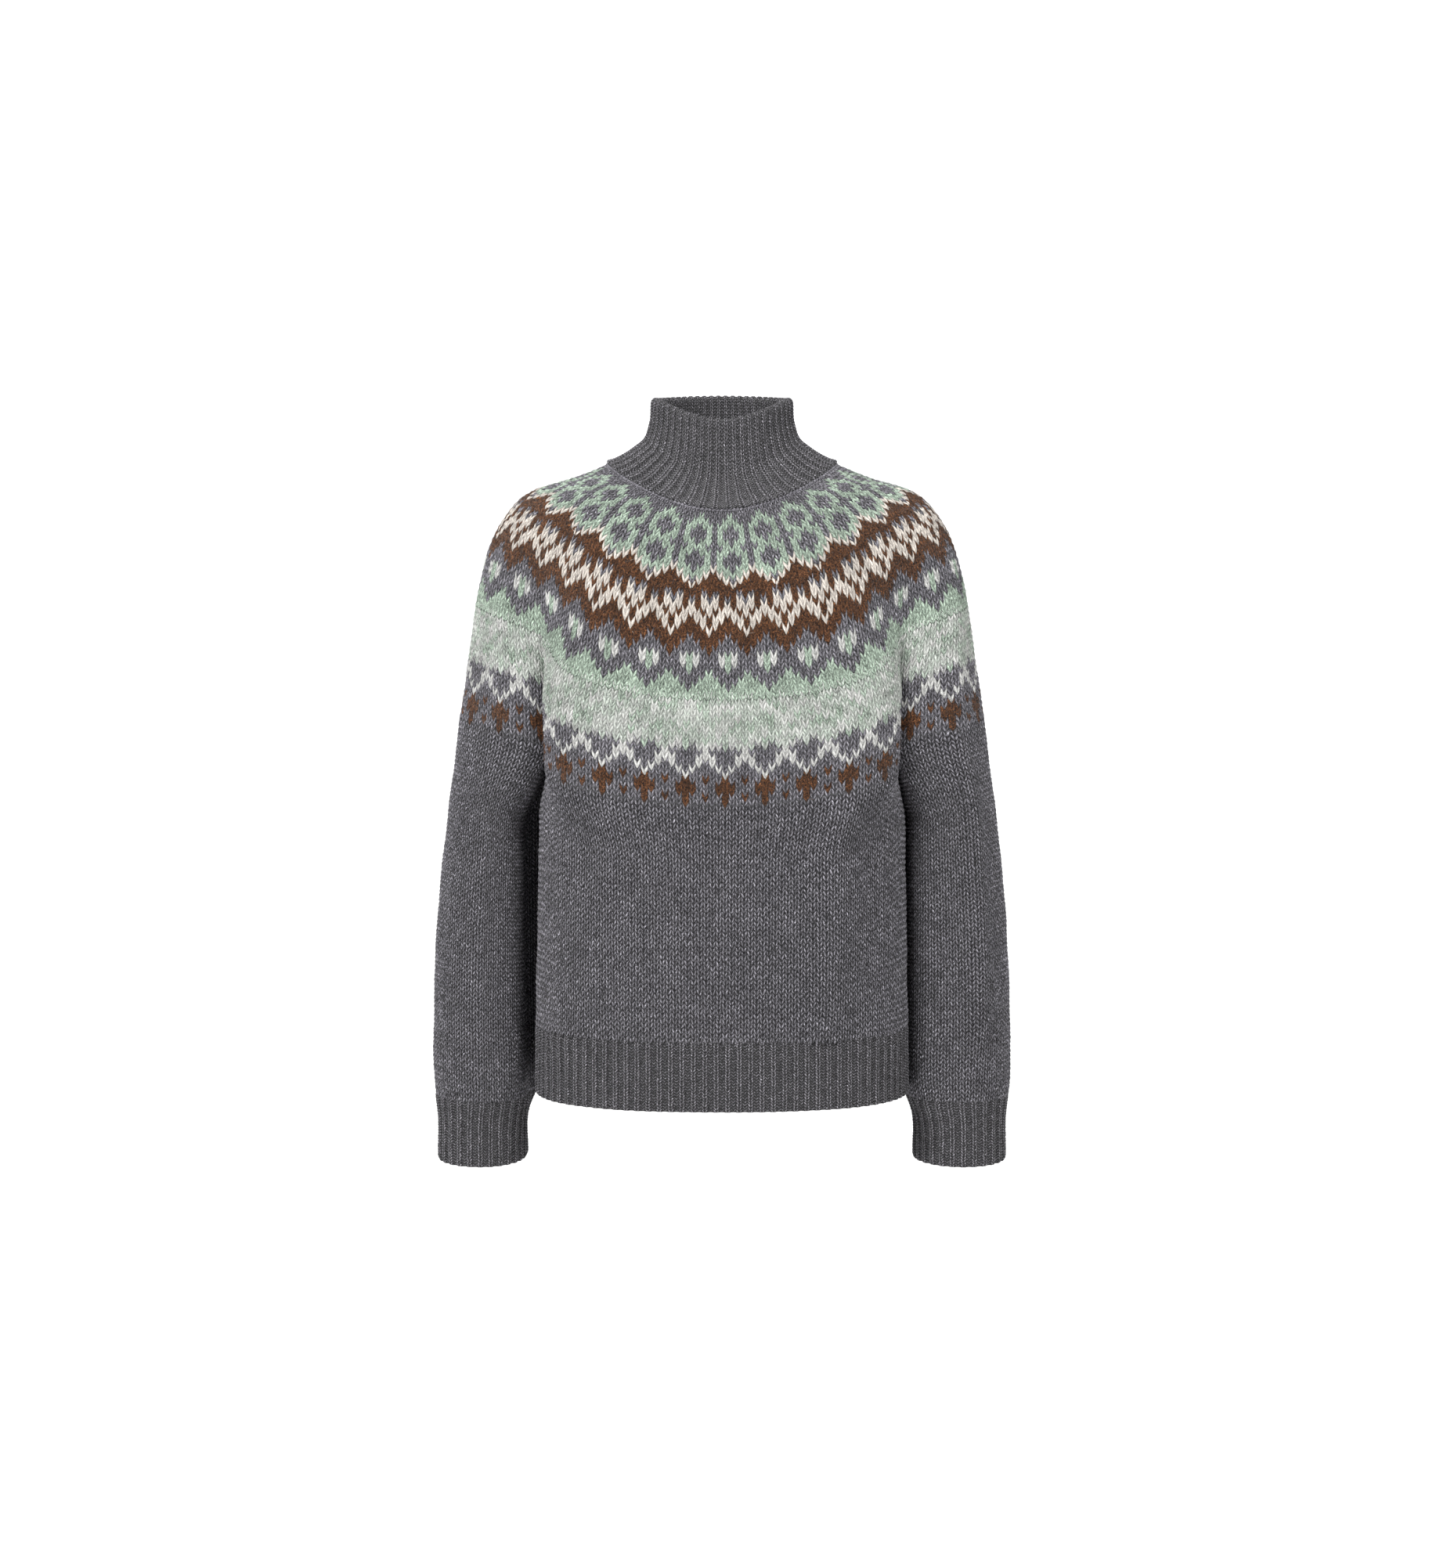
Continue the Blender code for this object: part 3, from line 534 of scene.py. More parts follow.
def loosened(grid, rng):
    """The tube with each stitch a little out of its place, except at its two edges."""
    stitches = rng.standard_normal((len(grid), grid.shape[1] // 4, 3)).repeat(4, axis=1)
    stray = LOOSE * (stitches + np.roll(stitches, 2, axis=1)) / 2
    stray[0] = stray[-1] = 0.0
    over = unit(np.roll(grid, -1, axis=1) - np.roll(grid, 1, axis=1))
    down = unit(np.gradient(grid, axis=0))
    return grid + over * stray[..., :1] + down * stray[..., 1:2], 0.4 * stray[..., 2]


def dressed(grid, shares, columns, piece, side, stitches, rng, mirror=(1, 1, 1), lapped=False):
    """The tube with its folds and its stitches raised. Its first two rows sink if it is lapped."""
    out = normals(grid)
    lift = fold_lift(piece, side, shares, columns, stitches) + uneven(grid * mirror, UNEVEN)
    grid, stray = loosened(grid, rng)
    relief = stray + LEG_RELIEF[np.arange(grid.shape[1]) % 4]
    relief[1:-1] += ROW_RELIEF[np.arange(1, len(grid) - 1) % 2][:, None]
    if lapped:
        shown = ease((np.arange(len(grid)) - 0.5) / LAP_RISE)[:, None]
        relief = relief * mix(LAP_RELIEF, 1.0, shown) - LAP_DEPTH * (1 - shown)
    return grid + out * (lift + relief)[..., None]


# %% [markdown]
# ## Building a closed wall
# A tube of knitting has an outside, an inside and two rims. The outside carries every stitch. The
# inside has one face to a stitch, since nobody sees more of it. The rims join them, so that
# the mesh is closed and its faces can all point outwards. Each corner keeps its place in the
# knitting as a UV, counted in stitches and rows, and the colour of its yarn as an attribute.

# %% Mesh helpers
def placed(name, data):
    """An object at the origin that holds a mesh, a light or a camera."""
    made = bpy.data.objects.new(name, data)
    bpy.context.scene.collection.objects.link(made)
    return made


def make_mesh(name, points, faces, places, colours, outside):
    """A smooth mesh from lists of face arrays, with a UV and a yarn colour at each corner.

    outside gives each list of faces 1 where it is seen on the outside of the knitting.
    """
    sizes = np.concatenate([np.full(len(f), f.shape[1]) for f in faces])
    loops = np.concatenate([f.ravel() for f in faces])
    mesh = bpy.data.meshes.new(name)
    mesh.vertices.add(len(points))
    mesh.vertices.foreach_set("co", points.ravel())
    mesh.loops.add(len(loops))
    mesh.loops.foreach_set("vertex_index", loops.astype(np.int32))
    mesh.polygons.add(len(sizes))
    starts = np.concatenate([[0], np.cumsum(sizes)[:-1]])
    mesh.polygons.foreach_set("loop_start", starts.astype(np.int32))
    mesh.polygons.foreach_set("loop_total", sizes.astype(np.int32))
    mesh.update(calc_edges=True)
    uv = mesh.uv_layers.new(name="knitting")
    uv.data.foreach_set("uv", np.concatenate([p.reshape(-1, 2) for p in places]).ravel())
    yarn = mesh.color_attributes.new("yarn", "FLOAT_COLOR", "CORNER")
    yarn.data.foreach_set("color", np.concatenate([c.reshape(-1, 4) for c in colours]).ravel())
    shown = mesh.attributes.new("outside", "FLOAT", "FACE")
    shown.data.foreach_set("value", np.repeat(np.array(outside, float), [len(f) for f in faces]))
    mesh.validate()
    mesh.shade_smooth()
    return placed(name, mesh)


def tube_faces(rings, count, first):
    """Quads between rings of a closed tube, and the step and column of each of their corners."""
    r, c = np.meshgrid(np.arange(rings - 1), np.arange(count), indexing="ij")
    r, c = r.ravel(), c.ravel()
    d = (c + 1) % count
    quads = first + np.stack([r * count + c, (r + 1) * count + c, (r + 1) * count + d, r * count + d], 1)
    place = np.stack([np.stack([c, r], 1), np.stack([c, r + 1], 1),
                      np.stack([c + 1, r + 1], 1), np.stack([c + 1, r], 1)], 1)
    return quads, place


def painted(faces, colour):
    return np.broadcast_to(np.asarray(colour, float), faces.shape + (4,))


# %% [markdown]
# ## Colour by stitch
# Each face knows its row and column, so the chart gives its yarn. Hand-dyed and carded wool
# varies from one stitch to the next, so each stitch is a little lighter or darker, by chance
# but from a fixed seed.

# %% Colour each stitch
WHITE = 0.3  # a yarn with more red than this is white or cream
MARL_WHITE, MARL_OTHERS = 0.70, 0.80  # the most that a stitch takes of the other marled yarn
UNEVEN_WHITE, UNEVEN_OTHERS = 0.06, 0.10  # how far its tone strays, as a share


def stitch_colours(chart, count, middle, rng, marled=0):
    """A colour for each stitch of a band: rows by columns by four numbers."""
    right = np.mod(np.arange(count) - middle, REPEAT)
    nearest = np.minimum(right, REPEAT - right)
    colours = np.array([[YARNS[row[c]] for c in nearest] for row in chart])
    white = colours[..., 0:1] > WHITE
    share = np.where(white[..., 0], MARL_WHITE, MARL_OTHERS) * rng.random((len(chart), count))
    share[marled:] = 0.0
    other = np.where(white, np.array(YARNS["m"]), np.array(YARNS["w"]))
    colours = mix(colours, other, share[..., None])
    unevenness = np.where(white[..., 0], UNEVEN_WHITE, UNEVEN_OTHERS)
    tone = 1 + unevenness * rng.standard_normal((len(chart), count))
    colours[..., :3] *= np.clip(tone, 0.75, 1.3)[..., None]
    return colours


def face_colours(colours):
    """The stitches' colours, repeated for the faces of a tube with four faces across and two up."""
    faces = np.repeat(np.repeat(colours, 2, axis=0), 4, axis=1).reshape(-1, 1, 4)
    return np.repeat(faces, 4, axis=1)


# %% [markdown]
# ## Joining rings of different counts
# Where the knitter works two stitches together the next round has fewer. A strip of triangles
# between two rings walks round both at once and always steps along the ring that lags behind.
# It joins the bands of the yoke, and closes the rims between the fine outside and the plain
# inside. Each end of a strip is an edge of its neighbours, so the wall has no open edge.

# %% Strip between two rings
def zipper(above, below, around, first_above, first_below):
    """Triangles between two rings whose points lie at given places round the tube."""
    n, m = len(above), len(below)
    start = int(np.argmin(np.abs(np.mod(below - above[0] + around / 2, around) - around / 2)))
    order = (start + np.arange(m + 1)) % m
    low = below[order] - above[0]
    low = np.mod(low + around / 2, around) - around / 2
    low[m // 2:] = np.mod(low[m // 2:], around)
    low[-1] = low[0] + around
    high = np.append(above, above[0] + around) - above[0]
    i = j = 0
    faces, places = [], []
    while i < n or j < m:
        if j >= m or (i < n and high[i + 1] <= low[j + 1]):
            faces.append((first_above + i, first_below + order[j], first_above + (i + 1) % n))
            places.append((high[i], low[j], high[i + 1]))
            i += 1
        else:
            faces.append((first_above + i % n, first_below + order[j], first_below + order[j + 1]))
            places.append((high[i], low[j], low[j + 1]))
            j += 1
    return np.array(faces), np.stack([np.array(places), np.full((len(faces), 3), 0.5)], 2)


# %% Closed wall
def closed_wall(name, segments, around, mirrored=False):
    """One closed mesh from segments of rings: down the outside, and up the inside again.

    Each segment is (grid, columns, UV at each column, UV at each ring, colours of its faces or one
    colour).
    """
    firsts = np.cumsum([0] + [g.shape[0] * g.shape[1] for g, *_ in segments])
    faces, places, colours, outside = [], [], [], []
    for k, (grid, columns, edges, down, colour) in enumerate(segments):
        rings, count = grid.shape[:2]
        quads, place = tube_faces(rings, count, firsts[k])
        colour = painted(quads, colour) if np.ndim(colour) == 1 else colour
        following = (k + 1) % len(segments)
        strip, strip_place = zipper(columns, segments[following][1], around,
                                    firsts[k] + (rings - 1) * count, firsts[following])
        faces += [quads, strip]
        places += [np.stack([edges[place[..., 0]], down[place[..., 1]]], -1), strip_place]
        colours += [colour, painted(strip, colour[-1, 0])]
        outside += [float(following != 0), 0.0]
    if mirrored:
        faces, places, colours = ([x[:, ::-1] for x in xs] for xs in (faces, places, colours))
    print(f"{name}: {sum((f.shape[1] - 2) * len(f) for f in faces)} triangles")
    points = np.concatenate([g.reshape(-1, 3) for g, *_ in segments])
    return make_mesh(name, points, faces, places, colours, outside)


# %% Plain inside
def plain_inside(surface, piece, side, shares, count, around, mirror=(1, 1, 1)):
    """The inside of a tube, from its lower end up, with one point to a stitch."""
    columns = np.arange(count) * around / count
    grid = surface(shares, columns)
    out = normals(grid)
    where = np.broadcast_to(np.asarray(shares)[:, None], grid.shape[:2])
    lift = fold_lift(piece, side, where, np.broadcast_to(columns, grid.shape[:2]), around)
    lift += uneven(grid * mirror, UNEVEN)
    return (grid + out * (lift - WALL)[..., None])[::-1] * mirror, columns


# %% [markdown]
# ## The yoke
# The yoke is knitted as one ring from its three bands. A straight strip between two bands would
# show as a line, so a band ends in its zigzag and the next one starts two rows earlier, a little
# under it. The laps fall in rows of one colour, as real decreases do, where they don't show.

# %% Knit the yoke
rng = np.random.default_rng(7)
segments = []
for k, (chart, count, shift, middle, rows) in enumerate(BANDS):
    grid, shares, columns = stitch_tube(yoke_surface, rows, count, YOKE, shift, False, True)
    outer = dressed(grid, shares, columns, "yoke", 0, YOKE, rng, lapped=k > 0)
    colours = stitch_colours(chart, count, middle, rng, MARLED_ROWS if chart is HEARTS else 0)
    segments.append((outer, columns[0], np.arange(4 * count + 1) / 4, np.arange(len(outer)) / 2,
                     face_colours(colours)))
yoke_edge = segments[-1][0][-1].copy()  # 864 points of its last round, for the pieces below
inside, inside_columns = plain_inside(yoke_surface, "yoke", 0, np.linspace(0, 1, 24), YOKE, YOKE)
segments.append((inside, inside_columns, np.arange(YOKE + 1.0), 2.0 * np.arange(len(inside)),
                 YARNS["g"]))
yoke = closed_wall("yoke_knitting", segments, YOKE)

# %% [markdown]
# ## The body and the sleeves
# They go on from the yoke's live stitches, so their first round is the yoke's last, point for
# point, and the zigzag of the stitches runs on without a seam. Only the stitches under the
# arms start afresh.

# %% Knit the body and the sleeves
def knitted_on(name, surface, fold_name, side, rows, count, taken):
    """A tube knitted on from the yoke. taken maps its columns to the yoke's, or to no stitch."""
    mirror = np.array([side or 1, 1.0, 1.0])
    levels = np.linspace(0, 1, rows + 1)
    grid, shares, columns = stitch_tube(surface, levels, count, count, 0.0, True, True)
    cast_on, cast_shares, _ = stitch_tube(surface, levels, count, count, 0.0, False, True)
    yoke_places = [taken(c / 4) for c in range(4 * count)]
    fresh = np.array([s is None for s in yoke_places])
    grid[:, fresh], shares[:, fresh] = cast_on[:, fresh], cast_shares[:, fresh]
    outer = dressed(grid, shares, columns, fold_name, side, count, rng, mirror) * mirror
    first = outer[0].copy()
    for c in np.flatnonzero(~fresh):
        first[c] = yoke_edge[int(round(4 * yoke_places[c])) % (4 * YOKE)]
    drop = math.ceil(2 * SLANT)  # steps over which the first round eases into its own form
    for k in range(drop):
        outer[k, ~fresh] = mix(first[~fresh], outer[drop, ~fresh], k / drop)
    colours = stitch_colours(["gggg"] * rows, count, 0, rng)
    inner_rings = np.linspace(0, 1, rows // INSIDE_ROWS)
    inside, inside_columns = plain_inside(surface, fold_name, side, inner_rings, count, count, mirror)
    return closed_wall(name, [
        (outer, columns[0], np.arange(4 * count + 1) / 4, np.arange(len(outer)) / 2,
         face_colours(colours)),
        (inside, inside_columns, np.arange(count + 1.0),
         float(INSIDE_ROWS) * np.arange(len(inside)), YARNS["g"]),
    ], count, side == -1)


# %% Share out the yoke's stitches
def body_takes(c):
    half = FRONT // 2
    if c <= half:
        return c
    if half + UNDERARM <= c <= half + UNDERARM + FRONT:
        return c + ARM - UNDERARM
    if c >= BODY - half:
        return c + YOKE - BODY
    return None


def sleeve_takes(side):
    return lambda c: (side * (FRONT // 2 + c)) % YOKE if c <= ARM else None


body = knitted_on("body_knitting", body_surface, "body", 0, BODY_ROWS, BODY, body_takes)
sleeves = [
    knitted_on(f"{name}_knitting", partial(sleeve_surface, side), "sleeve", side, SLEEVE_ROWS,
               SLEEVE, sleeve_takes(side))
    for name, side in (("sleeve_left", 1), ("sleeve_right", -1))
]

# %% [markdown]
# ## Ribbing
# One stitch knit and one purl makes the cloth pull together into cords: the knit columns
# stand out and the purl columns sink between them. Six faces across model one cord and its
# furrow, and the rows show as small Vs on the cord and rungs in the furrow.

# %% Sizes of the ribs
HEM_RIBS, CUFF_RIBS, COLLAR_RIBS = 92, 26, 52
HEM_ROWS, CUFF_ROWS, COLLAR_ROWS = 23, 23, 30
RIB_WALL = 0.0030
LAPPED_ROWS = 2  # rows of rib behind the last zigzag of plain knitting
RIB_SUNK = 0.0012  # how deep the first of them lies under it
RIB_ROUNDED = 0.0011  # how far the last rows turn in
RIB_STRAY, RIB_UNEVEN = 0.00012, 0.0003  # how far single points stray, and the surface wanders
RIB_TUCK = 0.0016  # how far the first ring is tucked in
RIB_SOFT = 0.35  # share of the cords' relief at the first row, and on the inside
RIB_ACROSS = np.array([0.0, 0.17, 0.33, 0.50, 0.67, 0.83])  # columns of points of one rib
CORD = np.array([-0.00125, -0.00080, 0.00090, 0.00062, 0.00090, -0.00080])
RUNG = np.array([0.00020, -0.00010, -0.00018, -0.00012, -0.00018, -0.00010])


# %% Ribbed tubes
def cord_relief(steps, ribs):
    """How far each point of a ribbed tube stands out, steps down by points round."""
    across = np.tile(CORD, ribs)
    rows = np.where(steps % 2 == 0, 1.0, -1.0)[:, None] * np.tile(RUNG, ribs)[None]
    return across[None] + rows


def rib_turns(ribs):
    return ((np.arange(ribs)[:, None] + RIB_ACROSS[None]) / ribs).ravel()


def rib_edges(ribs):
    """UVs of the columns of a ribbed tube, counted in ribs."""
    return np.append(rib_turns(ribs) * ribs, ribs)


def ribbed_band(name, section, top, end, ribs, rows, side=1):
    """A hem or cuff, whose first rows lie a little under the zigzag edge of the piece above it."""
    turns = rib_turns(ribs)
    steps = np.arange(-2 * LAPPED_ROWS, 2 * rows + 1)
    heights = mix(top, end, steps / steps[-1])
    plain = np.array([section(np.full(len(turns), z), turns) for z in heights])
    out = normals(plain)
    start = ease((steps - steps[0]) / 5.0)[:, None]
    sunk = -RIB_SUNK * (1 - ease((steps - steps[0]) / 3.5))[:, None]
    rounded = -RIB_ROUNDED * ease((steps - steps[-1] + 3) / 3.0)[:, None] ** 2
    stray = RIB_STRAY * rng.standard_normal(plain.shape[:2])
    relief = mix(RIB_SOFT, 1.0, start) * cord_relief(steps, ribs) + sunk + rounded + stray
    outer = plain + out * (relief + uneven(plain, RIB_UNEVEN))[..., None]
    outer = np.concatenate([outer[:1] - RIB_TUCK * out[:1], outer])
    few = [0, len(steps) // 2, -1]  # rings of the inside
    inner = (plain + out * (RIB_SOFT * cord_relief(steps, ribs) - RIB_WALL)[..., None])[few][::-1]
    mirror = np.array([side, 1.0, 1.0])
    edges = rib_edges(ribs)
    return closed_wall(name, [
        (outer * mirror, turns, edges, np.arange(len(outer)) / 2, YARNS["r"]),
        (inner * mirror, turns, edges, len(steps) / 4 * np.arange(3), YARNS["r"]),
    ], 1.0, side == -1)


hem = ribbed_band("hem_ribbing", body_section, BODY_END, HEM_END, HEM_RIBS, HEM_ROWS)
cuffs = [
    ribbed_band(f"{name}_ribbing", partial(sleeve_section, side), SLEEVE_END, CUFF_END,
                CUFF_RIBS, CUFF_ROWS, side)
    for name, side in (("cuff_left", 1), ("cuff_right", -1))
]

# %% [markdown]
# ## The collar
# The funnel collar is ribbed, folded double and rolled at the top, so its ribs go up the outside,
# over the roll and down the inside. At its foot it stands a little proud of the yoke. It is
# one closed band: a middle surface with half its thickness on either side and a round cap.

# %% The collar's form
COLLAR_FLARE = ((0.00, 0.000), (0.26, 0.084), (0.56, 0.226), (0.83, 0.410), (0.94, 0.670),
                (1.00, 1.000))  # share of the way in, share of the way up
COLLAR_ROW = 0.0030  # height of a row of its stitches
COLLAR_FOOT = 0.0036  # how far its foot stands out from the yoke
COLLAR_ROLL = 0.0042  # radius of the rolled top


def collar_surface(shares, turns):
    base = yoke_surface([0.0], turns * YOKE)[0]
    top = level_section(COLLAR_TOP_HALF_WIDTH, COLLAR_TOP_FRONT[0], COLLAR_TOP_BACK[0], 2.0, turns)
    lift = np.cos(2 * np.pi * turns)
    end = np.where(lift > 0, COLLAR_TOP_FRONT[1], COLLAR_TOP_BACK[1])
    top[:, 2] = mix(COLLAR_TOP_SIDE_HEIGHT, end, np.abs(lift) ** np.where(lift > 0, 2.0, 1.3))
    grid = []
    for v in shares:
        inward, upward = smooth_line(COLLAR_FLARE, [v])[0]
        ring = mix(base, top, inward)
        ring[:, 2] = mix(base[:, 2], top[:, 2], upward)
        grid.append(ring)
    return np.array(grid)


# %% Knit the collar
def make_collar():
    turns = rib_turns(COLLAR_RIBS)
    steps = np.arange(2 * COLLAR_ROWS + 1)
    shares = (steps / steps[-1])[:, None]
    middle = collar_surface(shares[:, 0], turns)
    relief = cord_relief(steps, COLLAR_RIBS)
    half = mix(COLLAR_WALL / 2, COLLAR_ROLL, ease((shares - 0.80) / 0.20))
    foot = mix(half, COLLAR_FOOT, ease(1 - shares / 0.10))

    # At its foot the collar stands square to the yoke that it is knitted on.
    yoke_top = yoke_surface([0.0, 0.01, 0.02], turns * YOKE)
    square, down = normals(yoke_top)[0], unit(yoke_top[1] - yoke_top[0])
    out = unit(mix(-normals(middle), square[None], 1 - ease(shares / 0.10)[..., None]))
    outer = middle + out * (foot + relief)[..., None]
    inner = middle - out * (half - 0.7 * relief)[..., None]
    edge = [outer[0] + down * 0.0012 - square * 0.0034, outer[0] + down * 0.0010 - square * 0.0008]

    # The cap rolls from the outside over the top and down to the inside.
    up = unit(middle[-1] - middle[-2])
    cap = []
    for angle in np.radians(np.arange(22.5, 180, 22.5)):
        bulge = COLLAR_ROLL + relief[-1] * (1 - 0.4 * math.sin(angle))
        cap.append(middle[-1] + (out[-1] * math.cos(angle) + up * math.sin(angle)) * bulge[:, None])

    # The loop starts at the inside's foot, so that its faces point outwards.
    loop = np.concatenate([edge, outer, cap, inner[::-1]])[::-1]
    gaps = np.linalg.norm(np.diff(loop, axis=0), axis=2).mean(axis=1)
    rows = np.concatenate([[0.0], np.cumsum(gaps)]) / COLLAR_ROW
    return closed_wall("collar_ribbing", [(loop, turns, rib_edges(COLLAR_RIBS), rows, YARNS["r"])], 1.0)


collar = make_collar()

# %% [markdown]
# ## Nodes written as arithmetic
# Geometry trees and shaders are graphs of nodes, and most of their nodes only add or multiply.
# They could be made one by one, which takes a page for each sum. Here a small class lets Python's
# own signs make them, so that a line of script reads as the sum that it is.

# %% Wires
class Wire:
    """What a node puts out. Arithmetic on it adds the Math nodes that work it out."""

    def __init__(self, socket):
        self.socket, self.tree = socket, socket.id_data

    def other(self, output):
        """Another output of the same node."""
        return Wire(self.socket.node.outputs[output])

    def maths(self, operation, *others):
        return step(self.tree, "ShaderNodeMath", dict(enumerate((self, *others))), operation=operation)

    def vector(self, operation, other):
        return step(self.tree, "ShaderNodeVectorMath", {0: self, 1: other}, operation=operation)

    def remap(self, *limits):
        """From one pair of limits to another, which is 0 and 1 unless it is given."""
        return step(self.tree, "ShaderNodeMapRange", dict(enumerate((self, *limits))))

    def __rsub__(self, number):
        return step(self.tree, "ShaderNodeMath", {0: number, 1: self}, operation="SUBTRACT")

    __add__ = partialmethod(maths, "ADD")
    __sub__ = partialmethod(maths, "SUBTRACT")
    __mul__ = partialmethod(maths, "MULTIPLY")
    __truediv__ = partialmethod(maths, "DIVIDE")
    __pow__ = partialmethod(maths, "POWER")
    __abs__ = partialmethod(maths, "ABSOLUTE")
    fract = partialmethod(maths, "FRACT")
    sine = partialmethod(maths, "SINE")
    at_least = partialmethod(maths, "MAXIMUM")
    at_most = partialmethod(maths, "MINIMUM")


# %% Nodes, trees and materials
def put(socket, value):
    """Link a wire to a socket, or set the socket's own value."""
    if isinstance(value, Wire):
        value.tree.links.new(value.socket, socket)
    else:
        socket.default_value = value


def step(tree, kind, given=None, output=0, **settings):
    """The output of a new node, with its settings and with values or wires in its inputs."""
    made = tree.nodes.new(kind)
    for label, value in settings.items():
        setattr(made, label, value)
    for label, value in (given or {}).items():
        put(made.inputs[label], value)
    return Wire(made.outputs[output])


def new_tree(name, kind, inputs, outputs):
    """An empty node group with named sockets: the tree, a wire for each input, its outputs."""
    tree = bpy.data.node_groups.new(name, kind)
    for label, holds, value in inputs:
        socket = tree.interface.new_socket(label, in_out="INPUT", socket_type="NodeSocket" + holds)
        if value is not None:
            socket.default_value = value
    for label, holds in outputs:
        tree.interface.new_socket(label, in_out="OUTPUT", socket_type="NodeSocket" + holds)
    given = {socket.name: Wire(socket) for socket in tree.nodes.new("NodeGroupInput").outputs}
    return tree, given, tree.nodes.new("NodeGroupOutput").inputs


def new_material(name, values):
    """A material whose Principled shader has these values: itself, its tree, the shader's inputs."""
    made = bpy.data.materials.new(name)
    made.use_nodes = True
    inputs = made.node_tree.nodes["Principled BSDF"].inputs
    for label, value in values.items():
        put(inputs[label], value)
    return made, made.node_tree, inputs


# %% [markdown]
# ## Growing small parts with Geometry Nodes
# Two things repeat too often to be placed one by one: the links of the chain at the collar's
# foot, and the loose fibres that stand off the wool. Each is a small tree that puts copies of
# one part on a line or a surface, and the result is kept as a plain mesh.

# %% Geometry tree helpers
def growing_tree(name, inputs):
    """A geometry tree with a mesh and a material among its inputs."""
    ends = ("Geometry", "Geometry")
    return new_tree(name, "GeometryNodeTree", ((*ends, None), *inputs, ("Material", "Material", None)),
                    [ends])


def settle(tree, copies, material, result):
    """Make copies a real, smooth mesh of one material, and put it out."""
    real = step(tree, "GeometryNodeRealizeInstances", {"Geometry": copies})
    smooth = step(tree, "GeometryNodeSetShadeSmooth", {0: real})
    put(result[0], step(tree, "GeometryNodeSetMaterial", {"Geometry": smooth, "Material": material}))


def named(tree, name, kind):
    return step(tree, "GeometryNodeInputNamedAttribute", {"Name": name}, data_type=kind)


def chance(tree, least, most, seed):
    """A number of its own for each copy."""
    return step(tree, "FunctionNodeRandomValue", {2: least, 3: most, "Seed": seed}, output=1,
                data_type="FLOAT")


def grown(name, source, tree, values):
    """The plain mesh that a tree makes from source, with the tree's inputs set by name."""
    modifier = source.modifiers.new(name, "NODES")
    modifier.node_group = tree
    for item in tree.interface.items_tree:
        if item.in_out == "INPUT" and item.name in values:
            modifier[item.identifier] = values[item.name]
    bpy.context.view_layer.update()
    graph = bpy.context.evaluated_depsgraph_get()
    mesh = bpy.data.meshes.new_from_object(source.evaluated_get(graph), depsgraph=graph,
                                           preserve_all_data_layers=True)
    mesh.name = name
    if mesh.materials[0] is None:
        mesh.materials[0] = values["Material"]
    source.modifiers.remove(modifier)
    triangles = sum(len(p.vertices) - 2 for p in mesh.polygons)
    print(f"{name}: {triangles} triangles, material {mesh.materials[0].name}")
    return placed(name, mesh)


# %% [markdown]
# ## The height of the yarn
# Two shader groups read a piece's place in its knitting, from its UV, and give the height of the
# yarn there: one for plain stitches and one for ribs. An image of knitting would show its own
# grid and blur when seen from near, while a sum for one leg of yarn stays sharp everywhere.

# %% Shader helpers
def noise(place, scale, detail=2.0, rough=0.5, distortion=0.0):
    return step(place.tree, "ShaderNodeTexNoise", {
        "Vector": place, "Scale": scale, "Detail": detail, "Roughness": rough,
        "Distortion": distortion})


def shaded(colour, tone):
    """A colour made darker or lighter."""
    return colour.vector("MULTIPLY", step(colour.tree, "ShaderNodeCombineXYZ",
                                          {k: tone for k in range(3)}))


def zigzag(place):
    """1 at whole numbers and 0 halfway between them."""
    return abs(place.fract() * 2.0 - 1.0)


# %% Height of a plain stitch
# PIT also sets how much darker the painted shade makes these holes.
PIT = 0.60  # depth of the holes where four legs meet, as a share of a leg's height
PLY = 0.10  # height of the twist in the yarn, in the same shares


def leg_height(slope, row):
    """A rounded leg of yarn. slope is 0 to 1 along it, and row counts rows."""
    left = 1.0 - ((zigzag(row) * 1.20) ** 2.4 + abs(slope * 2.36 - 1.20) ** 2.2)
    height = left.at_least(0.0) ** 0.6 - left.remap(-0.55, -1.60, 0.0, PIT)
    twist = ((slope * 1.5 + row * 1.4) * math.tau).sine()
    return twist * height * PLY + height


def plain_height(across, down):
    return leg_height(zigzag(across), down)


# %% Height of a rib
CORD_SHARE = 0.27  # half the width of a cord, as a share of a cord and its furrow


def rib_height(across, down):
    """Legs of yarn on the cord, and arched rungs in the furrow beside it."""
    off = abs(across.fract() - 0.5)
    leg = off / CORD_SHARE
    knit = leg_height(leg, leg.at_most(1.0) * 1.15 + down) * leg.remap(0.90, 1.10, 1.0, 0.0)
    rung = zigzag(off * -3.2 + down) ** 1.5 * -1.25 + 0.64
    return off.remap(0.25, 0.33) * (rung - knit) + knit


# %% Stitch groups
def stitch_group(name, wander, height, grain):
    """The height of the yarn and its grain at a place that wanders, as hand knitting does."""
    tree, given, result = new_tree(
        name, "ShaderNodeTree", [("Place", "Vector", None), ("Wander", "Float", wander)],
        [("Height", "Float"), ("Grain", "Float")])
    place = given["Place"]
    parts = step(tree, "ShaderNodeSeparateXYZ", {0: place})
    moved = [(noise(place.vector("ADD", (seed, 0.0, seed)), 1.1, 1.0) - 0.5) * given["Wander"]
             + parts.other(axis) for axis, seed in ((0, 0.0), (1, 37.0))]
    put(result["Height"], height(*moved))
    put(result["Grain"], noise(place.vector("MULTIPLY", grain), 1.0, 3.0, 0.75))
    return tree


